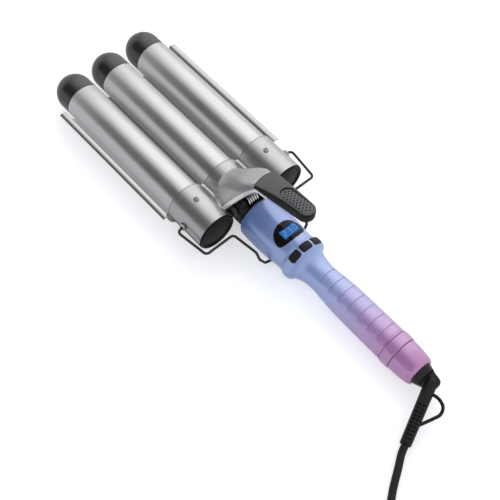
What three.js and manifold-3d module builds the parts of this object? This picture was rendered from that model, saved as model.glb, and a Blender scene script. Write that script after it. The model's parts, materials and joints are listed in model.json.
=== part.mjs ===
// Three-barrel hair waver, lying on a table with its jaws closed.
// Millimetres, +Z up, +X towards the barrel tips, +Y to the user's left.
// The pieces are drawn round the middle barrel's axis and then lifted on to the table.

import * as THREE from 'three';
import { mergeVertices } from 'three/addons/utils/BufferGeometryUtils.js';
import Module from 'manifold-3d';

const wasm = await Module();
wasm.setup();

// Clearances between pieces, and how far a cutting block reaches past what it cuts
const FIT = 0.3;
const RUNNING_FIT = 0.15;
const REACH = 120;

// Barrels and their tips
const BARREL_RADIUS = 16;
const BARREL_WALL = 1.2;
const BARREL_PITCH = 37;
const BARREL_LENGTH = 133.8;
const BARREL_ROOT = 16.6;
const TIP_STRAIGHT = 8;
const TIP_SPIGOT = 7;
const HEATER_LENGTH = 112;
const HEATER_SLOT = 4;
const HEATER_WALL = 2;
const HEATER_BAR = 5;

// Silver cover over the barrel roots, with the hood that rises to the lever
const COVER_WALL = 1.15;
const COVER_LENGTH = 38.7;
const PARTING_Z = -1;
const WEB_HEIGHT = 5.5;
const WEB_HALF_WIDTH = 5.5;
const WEB_FRONT_X = -2.5;
const WEB_SHORT_OF_REAR = 8;
const HOOD_FOOT_X = -29.5;
const HOOD_FOOT_Z = 4;
const HOOD_TOP_X = -49;
const HOOD_TOP_Z = 52;
const HOOD_SWEEP = 15;
const HOOD_BASE_HALF_WIDTH = 25;
const HOOD_NECK_HALF_WIDTH = 11.6;
const ARCH_HALF_WIDTH = 19.6;
const ARCH_HEIGHT = 24;
const ARCH_FRONT_HEIGHT = 15.5;
const ARCH_FULL_X = -40;

// Lower half of the barrel block and its hinge ears
const BULKHEAD = 1.8;
const EAR_THICKNESS = 3;
const EAR_RADIUS = 5.2;
const HINGE_X = -36;
const HINGE_Z = 6.5;
const HINGE_HALF_WIDTH = 19;
const PIN_RADIUS = 1.6;

// Round end caps of the two outer covers
const CAP_FLANGE = 1.5;
const CAP_SPIGOT = 5;
const CAP_DISH = 1.1;
const CAP_WALL = 1.8;

// Screws
const SCREW_HEAD_RADIUS = 2.3;
const SCREW_HEAD_HEIGHT = 1.1;
const SCREW_SHANK_RADIUS = 1.1;
const COVER_SCREW_X = -14.2;
const COVER_SCREW_LENGTH = 5;
const PLATE_SCREW_LENGTH = 9;
const PLATE_SCREW_XS = [-30.5, -38.5];
const FRONT_SCREW_LENGTH = 6;
const REAR_SCREW_LENGTH = 12;
const FRONT_SCREW_SETBACK = 7;
const REAR_SCREW_SETBACK = 22;
const SCREW_BOSS_RADIUS = 4;

// Lower jaw plate with three troughs, and the strap that carries it
const HAIR_GAP = 3.2;
const PLATE_SHEET = 1.2;
const PLATE_FRONT_X = 131;
const PLATE_REAR_X = -3.5;
const PLATE_LIP = 5.3;
const PLATE_CREST_WIDTH = 1.2;
const STRAP_HALF_WIDTH = 8;
const STRAP_FRONT_X = 14;
const STRAP_REAR_X = -42.5;

// Neck between the jaws and the handle
const NECK_RADIUS = 15.3;
const NECK_FRONT_X = -25.5;
const NECK_KNUCKLE_RADIUS = 8;
const NECK_SPIGOT = 13;
const SPRING_SLOT_HALF_WIDTH = 7.4;
const WIRE_DUCT_RADIUS = 4;
const WIRE_DUCT_Z = -8.5;

// Torsion spring on the hinge pin
const SPRING_TURNS = 5;
const SPRING_WIRE_RADIUS = 0.75;
const SPRING_MEAN_RADIUS = 7;
const SPRING_PITCH = 2.1;
const SPRING_NECK_LEG = 8;
const SPRING_HOOD_LEG = 13;

// Lever that opens the jaws
const LEVER_FRONT_X = -46.5;
const LEVER_LENGTH = 55.5;
const LEVER_FRONT_ARC = 22.3;
const LEVER_WALL = 2.3;
const LEVER_SEAT_DROP = 0.8;
const LEVER_RISE = 12;
const LEVER_FRONT_DEPTH = 5.6;
const LEVER_REAR_LIFT = 3.8;
const LEVER_BELLY = 1.5;
const LEVER_EDGE = 0.9;
const LEVER_CROWN = 1.1;
const LEVER_ROOT_HALF_WIDTH = 11.4;
const LEVER_TIP_HALF_WIDTH = 6.9;
const LEVER_TONGUE_HALF_WIDTH = 6.5;
const LEVER_TONGUE_LENGTH = 19;
const LEVER_TONGUE_ROOT = 7;
const LEVER_TONGUE_THICKNESS = 3.2;
const SADDLE_LENGTH = 17.5;
const SADDLE_HALF_WIDTH = 8.5;
const SADDLE_DEPTH = 4;
const SADDLE_TIP = 1.4;
const LEVER_PAD_LENGTH = 29;
const LEVER_PAD_THICKNESS = 1.6;
const LEVER_PAD_SETBACK = 2.4;
const LEVER_PAD_MARGIN = 2.2;
const LEVER_PAD_PROUD = 0.35;

// Handle: zones behind one another, from the neck to the tail
const HANDLE_FRONT_X = -45.5;
const HEAD_LENGTH = 50;
const COLLAR_LENGTH = 9;
const WAIST_LENGTH = 26;
const GRIP_LENGTH = 67;
const RING_LENGTH = 9.5;
const SLEEVE_LENGTH = 20.5;
const HANDLE_WALL = 2.2;
const HEAD_HALF_WIDTH = 18.4;
const COLLAR_RADIUS = 20;
const WAIST_RADIUS = 11.9;
const GRIP_RADIUS = 14.2;
const RING_RADIUS = 14.9;
const SLEEVE_END_RADIUS = 12.3;
const HEAD_AXIS_Z = -2.9;
const TAIL_AXIS_Z = -5.5;
const BELLY_Z = -17.6;
const BELLY_ROUNDNESS = 0.62;
const HANDLE_SIDES = 24;
const HANDLE_INNER_SIDES = 16;

// Stepped thumb panel on top of the grip
const PANEL_STEPS = 7;
const PANEL_PITCH = 10.5;
const PANEL_STEP_HEIGHT = 0.6;
const PANEL_HALF_WIDTH = 10.2;
const PANEL_THICKNESS = 1.4;

// Display and buttons
const DISPLAY_HALF_WIDTH = 13.2;
const DISPLAY_FRONT_X = -72.2;
const DISPLAY_REAR_X = -88.6;
const DISPLAY_THICKNESS = 2.4;
const LCD_LENGTH = 8;
const LCD_WIDTH = 17;
const LCD_THICKNESS = 1.8;
const LCD_Y = -2;
const BUTTON_LENGTH = 6.8;
const BUTTON_WIDTH = 9.2;
const BUTTON_SPREAD_DEG = 35;
const BUTTON_RISE = 0.7;
const BUTTON_THICKNESS = 2.2;
const BOARD_THICKNESS = 1.6;
const BOARD_Z = 1.2;

// Cord swivel, strain relief and its hanging loop
const SWIVEL_BASE_RADIUS = 10;
const SWIVEL_END_RADIUS = 6.6;
const SWIVEL_LENGTH = 11;
const SWIVEL_FLANGE = 1.6;
const TONGUE_HALF_THICKNESS = 2;
const TONGUE_RADIUS = 5.6;
const TONGUE_PIN_RADIUS = 1.2;
const RELIEF_LENGTH = 51;
const RELIEF_ROOT_RADIUS = 5;
const RELIEF_END_RADIUS = 4.5;
const RELIEF_YAW_DEG = 67;
const RELIEF_PITCH_DEG = 10.3;
const RELIEF_SLOTS = 10;
const RELIEF_SLOT_PITCH = 3;
const RELIEF_SLOT_WIDTH = 1.3;
const LOOP_WIRE_RADIUS = 1.35;

// Stand wire, folded back along the handle
const STAND_WIRE_RADIUS = 1.1;
const STAND_PIVOT_X = -19.5;
const STAND_PIVOT_Z = 2;
const STAND_STANDOFF = 4.8;
const STAND_ARM_DRAW_IN = 3.8;
const STAND_ARM_X = -50.6;
const STAND_INNER_HALF_WIDTH = 29;
const STAND_BEND_RADIUS = 3.5;
const BUSH_FLANGE_RADIUS = 3.2;
const BUSH_FLANGE = 2;
const BUSH_STEM_RADIUS = 2.3;
const BUSH_DEPTH = 3.4;

// Mains cord: a free stretch, a flat coil in two layers, a free end and a plug
const CORD_RADIUS = 3;
const COIL_TURNS_PER_LAYER = 4;
const COIL_OUTER_RADIUS = 44;
const COIL_PITCH = 6.6;
const COIL_CENTRE = [-347.2, 98.6];
const COIL_START_DEG = 36.9;
const COIL_END_DEG = 90;
const COIL_STEPS_PER_TURN = 18;
const PLUG_BODY = [36, 26, 13];
const PLUG_SIDES = 20;
const PLUG_ROUNDNESS = 0.6;
const PLUG_PIN_RADIUS = 2;
const PLUG_PIN_LENGTH = 19;
const PLUG_PIN_SPACING = 18.6;

// Sizes that follow from the ones above
const COVER_RADIUS = BARREL_RADIUS + FIT + COVER_WALL;
const TROUGH_RADIUS = BARREL_RADIUS + HAIR_GAP;
const TABLE_Z = -(TROUGH_RADIUS + PLATE_SHEET);
const COLLAR_FRONT_X = HANDLE_FRONT_X - HEAD_LENGTH;
const WAIST_FRONT_X = COLLAR_FRONT_X - COLLAR_LENGTH;
const GRIP_FRONT_X = WAIST_FRONT_X - WAIST_LENGTH;
const RING_FRONT_X = GRIP_FRONT_X - GRIP_LENGTH;
const SLEEVE_FRONT_X = RING_FRONT_X - RING_LENGTH;
const SLEEVE_END_X = SLEEVE_FRONT_X - SLEEVE_LENGTH;
const SWIVEL_PIVOT_X = SLEEVE_END_X - SWIVEL_LENGTH;
const TIP_END_X = BARREL_LENGTH + FIT + TIP_STRAIGHT + BARREL_RADIUS;
const TAIL_END_X = SWIVEL_PIVOT_X - TONGUE_RADIUS;
const OUTER_Y = BARREL_PITCH + COVER_RADIUS;
const STAND_PIVOT_HALF_WIDTH = OUTER_Y + RUNNING_FIT + BUSH_FLANGE + STAND_STANDOFF;
const STAND_ARM_HALF_WIDTH = STAND_PIVOT_HALF_WIDTH - STAND_ARM_DRAW_IN;
const BULKHEAD_X = -BARREL_ROOT - FIT - BULKHEAD;

const HANDLE_SCREW_XS = [HANDLE_FRONT_X - FRONT_SCREW_SETBACK, GRIP_FRONT_X - REAR_SCREW_SETBACK];

const radians = THREE.MathUtils.degToRad;
const lerp = THREE.MathUtils.lerp;
const smooth = THREE.MathUtils.smoothstep;

// Solids: closed geometry in, closed geometry out

function signedVolume(position, index) {
  const a = new THREE.Vector3();
  const b = new THREE.Vector3();
  const c = new THREE.Vector3();
  let volume = 0;
  for (let i = 0; i < index.length; i += 3) {
    a.fromBufferAttribute(position, index[i]);
    b.fromBufferAttribute(position, index[i + 1]);
    c.fromBufferAttribute(position, index[i + 2]);
    volume += a.dot(b.cross(c)) / 6;
  }
  return volume;
}

function toSolid(geometry) {
  const bare = geometry.clone();
  bare.deleteAttribute('normal');
  bare.deleteAttribute('uv');
  const merged = mergeVertices(bare, 1e-4);
  const source = merged.index.array;
  const kept = [];
  for (let i = 0; i < source.length; i += 3) {
    const [p, q, r] = [source[i], source[i + 1], source[i + 2]];
    if (p !== q && q !== r && r !== p) kept.push(p, q, r);
  }
  if (signedVolume(merged.attributes.position, kept) < 0) kept.reverse();
  return new wasm.Manifold(new wasm.Mesh({
    numProp: 3,
    vertProperties: new Float32Array(merged.attributes.position.array),
    triVerts: new Uint32Array(kept),
  }));
}

function toGeometry(solid) {
  const mesh = solid.getMesh();
  const geometry = new THREE.BufferGeometry();
  geometry.setAttribute('position', new THREE.BufferAttribute(new Float32Array(mesh.vertProperties), 3));
  geometry.setIndex(new THREE.BufferAttribute(new Uint32Array(mesh.triVerts), 1));
  geometry.computeVertexNormals();
  return geometry;
}

function join(...solids) {
  return solids.reduce((whole, piece) => whole.add(piece));
}

function cut(solid, ...tools) {
  return tools.reduce((rest, tool) => rest.subtract(tool), solid);
}

function block(x, y, z) {
  const geometry = new THREE.BoxGeometry(x[1] - x[0], y[1] - y[0], z[1] - z[0]);
  geometry.translate((x[0] + x[1]) / 2, (y[0] + y[1]) / 2, (z[0] + z[1]) / 2);
  return toSolid(geometry);
}

function rodX(radius, x0, x1, y = 0, z = 0, sides = 28) {
  const geometry = new THREE.CylinderGeometry(radius, radius, Math.abs(x1 - x0), sides);
  geometry.rotateZ(-Math.PI / 2).translate((x0 + x1) / 2, y, z);
  return toSolid(geometry);
}

function rodY(radius, y0, y1, x = 0, z = 0, sides = 16) {
  const geometry = new THREE.CylinderGeometry(radius, radius, Math.abs(y1 - y0), sides);
  geometry.translate(x, (y0 + y1) / 2, z);
  return toSolid(geometry);
}

function rodZ(radius, z0, z1, x = 0, y = 0, sides = 12) {
  const geometry = new THREE.CylinderGeometry(radius, radius, Math.abs(z1 - z0), sides);
  geometry.rotateX(Math.PI / 2).translate(x, y, (z0 + z1) / 2);
  return toSolid(geometry);
}

// A closed profile of [x, radius] points turned about the X axis
function turnX(profile, sides = 28) {
  const points = profile.map(([x, radius]) => new THREE.Vector2(radius, x));
  points.push(points[0].clone());
  return toSolid(new THREE.LatheGeometry(points, sides).rotateZ(-Math.PI / 2));
}

// A closed outline of [x, z] points, as thick as y[0] to y[1]
function slabY(outline, y) {
  const shape = new THREE.Shape(outline.map(([x, z]) => new THREE.Vector2(x, z)));
  const geometry = new THREE.ExtrudeGeometry(shape, { depth: y[1] - y[0], bevelEnabled: false });
  return toSolid(geometry.rotateX(Math.PI / 2).translate(0, y[1], 0));
}

// A closed outline of [x, y] points, as thick as z[0] to z[1]
function slabZ(outline, z) {
  const shape = new THREE.Shape(outline.map(([x, y]) => new THREE.Vector2(x, y)));
  const geometry = new THREE.ExtrudeGeometry(shape, { depth: z[1] - z[0], bevelEnabled: false });
  return toSolid(geometry.translate(0, 0, z[0]));
}

// A closed outline of [y, z] points, as long as x[0] to x[1]
function slabX(outline, x) {
  const shape = new THREE.Shape(outline.map(([y, z]) => new THREE.Vector2(y, z)));
  const geometry = new THREE.ExtrudeGeometry(shape, { depth: x[1] - x[0], bevelEnabled: false });
  const turn = new THREE.Matrix4().set(0, 0, 1, x[0], 1, 0, 0, 0, 0, 1, 0, 0, 0, 0, 0, 1);
  return toSolid(geometry.applyMatrix4(turn));
}

// Rings of equally many points, skinned one to the next and closed at both ends
function loft(rings) {
  const sides = rings[0].length;
  const positions = rings.flat().flatMap((p) => [p.x, p.y, p.z]);
  const index = [];
  for (let i = 0; i + 1 < rings.length; i += 1) {
    for (let j = 0; j < sides; j += 1) {
      const k = (j + 1) % sides;
      const [a, b, c, d] = [i * sides + j, i * sides + k, (i + 1) * sides + k, (i + 1) * sides + j];
      index.push(a, b, c, a, c, d);
    }
  }
  const last = (rings.length - 1) * sides;
  const flat = rings[0].map((p) => new THREE.Vector2(p.y, p.z));
  const flatLast = rings.at(-1).map((p) => new THREE.Vector2(p.y, p.z));
  for (const [p, q, r] of THREE.ShapeUtils.triangulateShape(flat, [])) index.push(r, q, p);
  for (const [p, q, r] of THREE.ShapeUtils.triangulateShape(flatLast, [])) {
    index.push(last + p, last + q, last + r);
  }
  const geometry = new THREE.BufferGeometry();
  geometry.setAttribute('position', new THREE.Float32BufferAttribute(positions, 3));
  geometry.setIndex(index);
  return toSolid(geometry);
}

function tube(curve, radius, steps, sides) {
  const section = new THREE.Shape(
    Array.from({ length: sides }, (_, i) => {
      const angle = ((i + 0.5) / sides) * 2 * Math.PI;
      return new THREE.Vector2(radius * Math.cos(angle), radius * Math.sin(angle));
    }),
  );
  const options = { steps, extrudePath: curve, bevelEnabled: false, curveSegments: 1 };
  return toSolid(new THREE.ExtrudeGeometry(section, options));
}

// A bent wire: straight runs between corner points, each corner rounded in a few steps
class BentWireCurve extends THREE.Curve {
  constructor(corners, radius) {
    super();
    this.points = [corners[0]];
    for (let i = 1; i + 1 < corners.length; i += 1) {
      const corner = corners[i];
      const before = corners[i - 1].clone().sub(corner);
      const after = corners[i + 1].clone().sub(corner);
      const trim = Math.min(radius, before.length() * 0.45, after.length() * 0.45);
      const start = corner.clone().add(before.setLength(trim));
      const end = corner.clone().add(after.setLength(trim));
      this.points.push(...new THREE.QuadraticBezierCurve3(start, corner, end).getPoints(3));
    }
    this.points.push(corners.at(-1));
    this.steps = this.points.length - 1;
  }

  getPoint(t, target = new THREE.Vector3()) {
    const place = t * this.steps;
    const i = Math.min(Math.floor(place), this.steps - 1);
    return target.lerpVectors(this.points[i], this.points[i + 1], place - i);
  }

  getPointAt(u, target) {
    return this.getPoint(u, target);
  }

  getTangentAt(u, target = new THREE.Vector3()) {
    const i = Math.round(u * this.steps);
    const before = this.points[Math.max(i - 1, 0)];
    const after = this.points[Math.min(i + 1, this.steps)];
    const here = this.points[i];
    const arriving = here.clone().sub(before).normalize();
    const leaving = after.clone().sub(here).normalize();
    return target.addVectors(arriving, leaving).normalize();
  }
}

function arc(cx, cy, radius, fromDeg, toDeg, steps) {
  return Array.from({ length: steps + 1 }, (_, i) => {
    const angle = radians(lerp(fromDeg, toDeg, i / steps));
    return [cx + radius * Math.cos(angle), cy + radius * Math.sin(angle)];
  });
}

// Finishes
const FINISHES = {
  chrome: { color: 0xc9cacc, roughness: 0.25, metalness: 0.9 },
  silver: { color: 0xb9babd, roughness: 0.35, metalness: 0.7 },
  steel: { color: 0x9fa1a4, roughness: 0.35, metalness: 0.9 },
  wire: { color: 0x2c2d2e, roughness: 0.4, metalness: 0.8 },
  black: { color: 0x161617, roughness: 0.35, metalness: 0 },
  charcoal: { color: 0x3a3a3b, roughness: 0.5, metalness: 0 },
  grey: { color: 0x6b6b6c, roughness: 0.55, metalness: 0 },
  ceramic: { color: 0xd8d4cb, roughness: 0.7, metalness: 0 },
  blue: { color: 0x8ea6dd, roughness: 0.35, metalness: 0.4 },
  lilac: { color: 0xb9a3d6, roughness: 0.4, metalness: 0.4 },
  orchid: { color: 0xb779b4, roughness: 0.35, metalness: 0.4 },
  glass: { color: 0x0c0d10, roughness: 0.1, metalness: 0 },
  lcd: { color: 0x3f7fd0, roughness: 0.3, metalness: 0 },
  board: { color: 0x1f6b3a, roughness: 0.6, metalness: 0 },
  cord: { color: 0x1d1d1e, roughness: 0.5, metalness: 0 },
  brass: { color: 0xc8b070, roughness: 0.3, metalness: 1 },
};

const waver = new THREE.Group();
waver.name = 'hair_waver';

function place(name, finish, solid) {
  const material = new THREE.MeshStandardMaterial(FINISHES[finish]);
  const mesh = new THREE.Mesh(toGeometry(solid), material);
  mesh.name = name;
  waver.add(mesh);
}

const SIDES = [['left', 1], ['right', -1]];
const LANES = [['left', 1], ['middle', 0], ['right', -1]];

// Barrels, tips and heaters

function barrel(lane) {
  const y = lane * BARREL_PITCH;
  const shell = rodX(BARREL_RADIUS, -BARREL_ROOT, BARREL_LENGTH, y);
  const bore = rodX(BARREL_RADIUS - BARREL_WALL, -BARREL_ROOT - 1, BARREL_LENGTH + 1, y);
  const tubeOnly = cut(shell, bore);
  if (lane === 0) return tubeOnly;
  return cut(tubeOnly, rodZ(SCREW_SHANK_RADIUS + FIT, 0, BARREL_RADIUS + 1, COVER_SCREW_X, y));
}

function barrelTip(lane) {
  const seat = BARREL_LENGTH + FIT;
  const spigotRadius = BARREL_RADIUS - BARREL_WALL - FIT;
  const dome = arc(seat + TIP_STRAIGHT, 0, BARREL_RADIUS, 90, 0, 5);
  const profile = [
    [seat, BARREL_RADIUS],
    ...dome.slice(0, -1),
    [seat + TIP_STRAIGHT + BARREL_RADIUS, 0],
    [seat - TIP_SPIGOT, 0],
    [seat - TIP_SPIGOT, spigotRadius],
    [seat, spigotRadius],
  ];
  return turnX(profile).translate([0, lane * BARREL_PITCH, 0]);
}

// A split sleeve that presses on the barrel, with the heating bar across it
function heaterCore(lane) {
  const y = lane * BARREL_PITCH;
  const radius = BARREL_RADIUS - BARREL_WALL - FIT;
  const end = BARREL_LENGTH - TIP_SPIGOT - FIT;
  const start = end - HEATER_LENGTH;
  const sleeve = rodX(radius, start, end, y, 0, 20);
  const bore = rodX(radius - HEATER_WALL, start - 1, end + 1, y, 0, 20);
  const split = block([start - 1, end + 1], [y - HEATER_SLOT / 2, y + HEATER_SLOT / 2], [0, radius + 1]);
  const halfBar = radius - HEATER_WALL / 2;
  const bar = block([start, end], [y - halfBar, y + halfBar], [-HEATER_BAR / 2, HEATER_BAR / 2]);
  return join(cut(sleeve, bore, split), bar);
}

// Upper cover with its hood

// Half width of the hood's rear face: broad shoulders that draw in to a flat-topped neck
function hoodBell(height) {
  const body = lerp(HOOD_BASE_HALF_WIDTH, HOOD_NECK_HALF_WIDTH, smooth(height, 0.12, 0.62));
  const edge = Math.max((height - 0.93) / 0.07, 0);
  return body - 2.6 * (1 - Math.sqrt(1 - edge * edge));
}

// Station 0 lies inside the middle cover and station 1 is the hood's rear face
function hoodRing(t) {
  const footX = lerp(-6, HOOD_FOOT_X, t);
  const footZ = lerp(0, HOOD_FOOT_Z, t);
  const topX = lerp(-9, HOOD_TOP_X, t);
  const topZ = lerp(COVER_RADIUS - 1, HOOD_TOP_Z, smooth(t ** 0.85, -0.06, 1.1));
  const opened = smooth(t, 0, 0.85);
  const heights = [0, 0.12, 0.24, 0.36, 0.48, 0.6, 0.75, 0.88, 0.96, 1];
  const side = heights.map((height) => {
    const round = 15 * Math.sqrt(1 - 0.97 * height * height);
    const half = lerp(round, hoodBell(height), opened);
    const swept = HOOD_SWEEP * t ** 4 * height * (height - 0.53);
    return [lerp(footX, topX, height) - swept, half, lerp(footZ, topZ, height)];
  });
  const left = side.map(([x, y, z]) => new THREE.Vector3(x, y, z));
  const right = side.map(([x, y, z]) => new THREE.Vector3(x, -y, z)).reverse();
  return [...left, ...right];
}

function hoodSolid() {
  const stations = 8;
  return loft(Array.from({ length: stations + 1 }, (_, i) => hoodRing(i / stations)));
}

// The arch under the hood's rear lip, which clears the neck as the jaws open
function archRing(x, height) {
  const outline = [
    [ARCH_HALF_WIDTH, PARTING_Z - 1],
    ...arc(0, 0, 1, 0, 180, 20).map(([c, s]) => [ARCH_HALF_WIDTH * c, HOOD_FOOT_Z + height * s]),
    [-ARCH_HALF_WIDTH, PARTING_Z - 1],
  ];
  return outline.map(([y, z]) => new THREE.Vector3(x, y, z));
}

function archTool() {
  return loft([
    archRing(NECK_FRONT_X + 3.4, ARCH_FRONT_HEIGHT),
    archRing(ARCH_FULL_X, ARCH_HEIGHT),
    archRing(HOOD_TOP_X - REACH, ARCH_HEIGHT),
  ]);
}

// The saddle that carries the hood's rear edge on along the lever's underside
function leverSaddle() {
  const rear = LEVER_FRONT_X - SADDLE_LENGTH;
  const xs = [0, 0.33, 0.67, 1].map((t) => lerp(LEVER_FRONT_X, rear, t));
  const over = xs.map((x) => [x, leverBottomZ(x) - FIT]);
  const under = xs.map((x, i) => [x, leverBottomZ(x) - FIT - lerp(SADDLE_DEPTH, SADDLE_TIP, i / 3)]);
  const half = SADDLE_HALF_WIDTH;
  const plan = slabZ([
    ...arc(rear + half, 0, half, 90, 270, 8),
    [LEVER_FRONT_X, -half],
    [LEVER_FRONT_X, half],
  ], [0, REACH]);
  return slabY([...over, ...under.reverse()], [-half, half]).intersect(plan);
}

// The tongue that reaches back from the hood into the hollow lever
function leverTongue() {
  const front = LEVER_FRONT_X + LEVER_TONGUE_ROOT;
  const rear = LEVER_FRONT_X - LEVER_TONGUE_LENGTH;
  const topAt = (x) => leverTopZ(x) - LEVER_WALL - LEVER_CROWN - FIT;
  const outline = [
    [front, topAt(LEVER_FRONT_X) - 1.4],
    [LEVER_FRONT_X, topAt(LEVER_FRONT_X)],
    [rear, topAt(rear)],
    [rear, topAt(rear) - LEVER_TONGUE_THICKNESS],
    [front, topAt(front) - 2 * LEVER_TONGUE_THICKNESS],
  ];
  return slabY(outline, [-LEVER_TONGUE_HALF_WIDTH, LEVER_TONGUE_HALF_WIDTH]);
}

function upperCover() {
  const covers = LANES.map(([, lane]) => {
    const rear = lane === 0 ? NECK_FRONT_X : -COVER_LENGTH;
    return rodX(COVER_RADIUS, rear, 0, lane * BARREL_PITCH);
  });
  const webs = SIDES.map(([, side]) => {
    const y = (side * BARREL_PITCH) / 2;
    const across = [y - WEB_HALF_WIDTH, y + WEB_HALF_WIDTH];
    return block([WEB_SHORT_OF_REAR - COVER_LENGTH, WEB_FRONT_X], across, [PARTING_Z, WEB_HEIGHT]);
  });
  const outer = join(...covers, ...webs, hoodSolid());
  const half = block([-REACH, 1], [-OUTER_Y - 1, OUTER_Y + 1], [PARTING_Z, REACH]);
  const bores = LANES.map(([, lane]) => {
    const rear = lane === 0 ? NECK_FRONT_X + 1 : -COVER_LENGTH - 1;
    return rodX(BARREL_RADIUS + FIT, rear, 1, lane * BARREL_PITCH);
  });
  const screwHoles = SIDES.map(([, side]) => (
    rodZ(SCREW_SHANK_RADIUS + FIT, 0, REACH, COVER_SCREW_X, side * BARREL_PITCH)
  ));
  const bushHoles = SIDES.map(([, side]) => (
    rodY(BUSH_STEM_RADIUS + FIT, side * BARREL_PITCH, side * REACH, STAND_PIVOT_X, STAND_PIVOT_Z)
  ));
  const earPockets = SIDES.map(([, side]) => earPocket(side));
  const leverSeat = cut(
    block([-REACH, LEVER_FRONT_X + 2], [-REACH, REACH], [leverBottomZ(LEVER_FRONT_X) - FIT, REACH]),
    aheadOfLever(FIT),
  );
  const openings = [...bores, archTool(), ...screwHoles, ...bushHoles, ...earPockets, leverSeat];
  const shell = cut(outer.intersect(half), ...openings);
  return join(shell, leverTongue(), leverSaddle());
}

// Lower housing: three half shells, a bulkhead behind the middle barrel and two hinge ears

function lowerHousing() {
  const seam = PARTING_Z - FIT;
  const bulkheadX = BULKHEAD_X;
  const shells = LANES.map(([, lane]) => (
    rodX(COVER_RADIUS, lane === 0 ? bulkheadX : -COVER_LENGTH, 0, lane * BARREL_PITCH)
  ));
  const webs = SIDES.map(([, side]) => {
    const y = (side * BARREL_PITCH) / 2;
    const across = [y - WEB_HALF_WIDTH, y + WEB_HALF_WIDTH];
    return block([bulkheadX, WEB_FRONT_X], across, [seam - WEB_HEIGHT, seam]);
  });
  const half = block([-COVER_LENGTH - 1, 1], [-OUTER_Y - 1, OUTER_Y + 1], [TABLE_Z, seam]);
  const bores = LANES.map(([, lane]) => {
    const rear = lane === 0 ? -BARREL_ROOT - FIT : -COVER_LENGTH - 1;
    return rodX(BARREL_RADIUS + FIT, rear, 1, lane * BARREL_PITCH);
  });
  const halves = cut(join(...shells, ...webs).intersect(half), ...bores);
  const ears = SIDES.map(([, side]) => hingeEar(side));
  const past = HINGE_HALF_WIDTH + FIT;
  const pinBore = rodY(PIN_RADIUS + RUNNING_FIT, -past, past, HINGE_X, HINGE_Z);
  return cut(join(halves, ...ears), pinBore);
}

// Room in the upper cover for one hinge ear
function earPocket(side) {
  const y = [side * (HINGE_HALF_WIDTH - EAR_THICKNESS - FIT), side * (HINGE_HALF_WIDTH + FIT)];
  const x = [HINGE_X - EAR_RADIUS - FIT, BULKHEAD_X + BULKHEAD + FIT];
  return block(x, y.sort((a, b) => a - b), [PARTING_Z - 1, HINGE_Z + EAR_RADIUS + FIT]);
}

function hingeEar(side) {
  const bulkheadX = BULKHEAD_X;
  const y = [side * (HINGE_HALF_WIDTH - EAR_THICKNESS), side * HINGE_HALF_WIDTH].sort((a, b) => a - b);
  const top = HINGE_Z + EAR_RADIUS;
  const outline = [
    [bulkheadX + BULKHEAD, PARTING_Z - 9],
    [bulkheadX + BULKHEAD, PARTING_Z - FIT],
    [bulkheadX - 2, HINGE_Z - 1],
    ...arc(HINGE_X, HINGE_Z, EAR_RADIUS, 60, 250, 12),
    [bulkheadX - 3, PARTING_Z - 9],
  ].map(([x, z]) => [x, Math.min(z, top)]);
  return slabY(outline, y);
}

function endCap(side) {
  const face = -COVER_LENGTH - FIT;
  const spigotRadius = BARREL_RADIUS;
  const flangeRadius = COVER_RADIUS - 0.5;
  const profile = [
    [face, flangeRadius],
    [face - CAP_FLANGE, flangeRadius - 0.6],
    [face - CAP_FLANGE, flangeRadius - 1.9],
    [face - CAP_FLANGE + CAP_DISH, flangeRadius - 3.4],
    [face - CAP_FLANGE + CAP_DISH * 0.6, 0],
    [face + CAP_WALL, 0],
    [face + CAP_WALL, spigotRadius - CAP_WALL],
    [face + CAP_SPIGOT, spigotRadius - CAP_WALL],
    [face + CAP_SPIGOT, spigotRadius],
    [face, spigotRadius],
  ];
  return turnX(profile, 24).translate([0, side * BARREL_PITCH, 0]);
}

// A pan head on a shank that points down from z = 0
function panScrew(length) {
  const head = new THREE.LatheGeometry([
    new THREE.Vector2(0, -length),
    new THREE.Vector2(SCREW_SHANK_RADIUS, -length),
    new THREE.Vector2(SCREW_SHANK_RADIUS, 0),
    new THREE.Vector2(SCREW_HEAD_RADIUS, 0),
    new THREE.Vector2(SCREW_HEAD_RADIUS, SCREW_HEAD_HEIGHT * 0.5),
    new THREE.Vector2(SCREW_HEAD_RADIUS * 0.7, SCREW_HEAD_HEIGHT),
    new THREE.Vector2(0, SCREW_HEAD_HEIGHT),
  ], 8);
  return toSolid(head.rotateX(Math.PI / 2));
}

// Lower jaw

function plateMidline() {
  const radius = TROUGH_RADIUS + PLATE_SHEET / 2;
  const crestDeg = THREE.MathUtils.radToDeg(Math.acos((BARREL_PITCH - PLATE_CREST_WIDTH) / 2 / radius));
  const points = [[OUTER_Y - COVER_RADIUS + radius + PLATE_LIP - 0.4, 0]];
  points.push(...arc(BARREL_PITCH, 0, radius, 0, -180 + crestDeg, 14));
  points.push(...arc(0, 0, radius, -crestDeg, -180 + crestDeg, 12));
  points.push(...arc(-BARREL_PITCH, 0, radius, -crestDeg, -180, 14));
  points.push([-points[0][0], 0]);
  return points;
}

// Offsets an open line of points to both sides, as a bent sheet
function sheetOutline(line, thickness) {
  const sideways = line.map((point, i) => {
    const before = new THREE.Vector2(...line[Math.max(i - 1, 0)]);
    const after = new THREE.Vector2(...line[Math.min(i + 1, line.length - 1)]);
    const along = after.sub(before).normalize();
    return new THREE.Vector2(-along.y, along.x).multiplyScalar(thickness / 2);
  });
  const outer = line.map(([y, z], i) => [y + sideways[i].x, z + sideways[i].y]);
  const inner = line.map(([y, z], i) => [y - sideways[i].x, z - sideways[i].y]);
  return [...outer, ...inner.reverse()];
}

function clampPlate() {
  return slabX(sheetOutline(plateMidline(), PLATE_SHEET), [PLATE_REAR_X, PLATE_FRONT_X]);
}

const STRAP_TOP_Z = -COVER_RADIUS - FIT;
const STRAP_BOTTOM_Z = -TROUGH_RADIUS + FIT;

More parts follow.
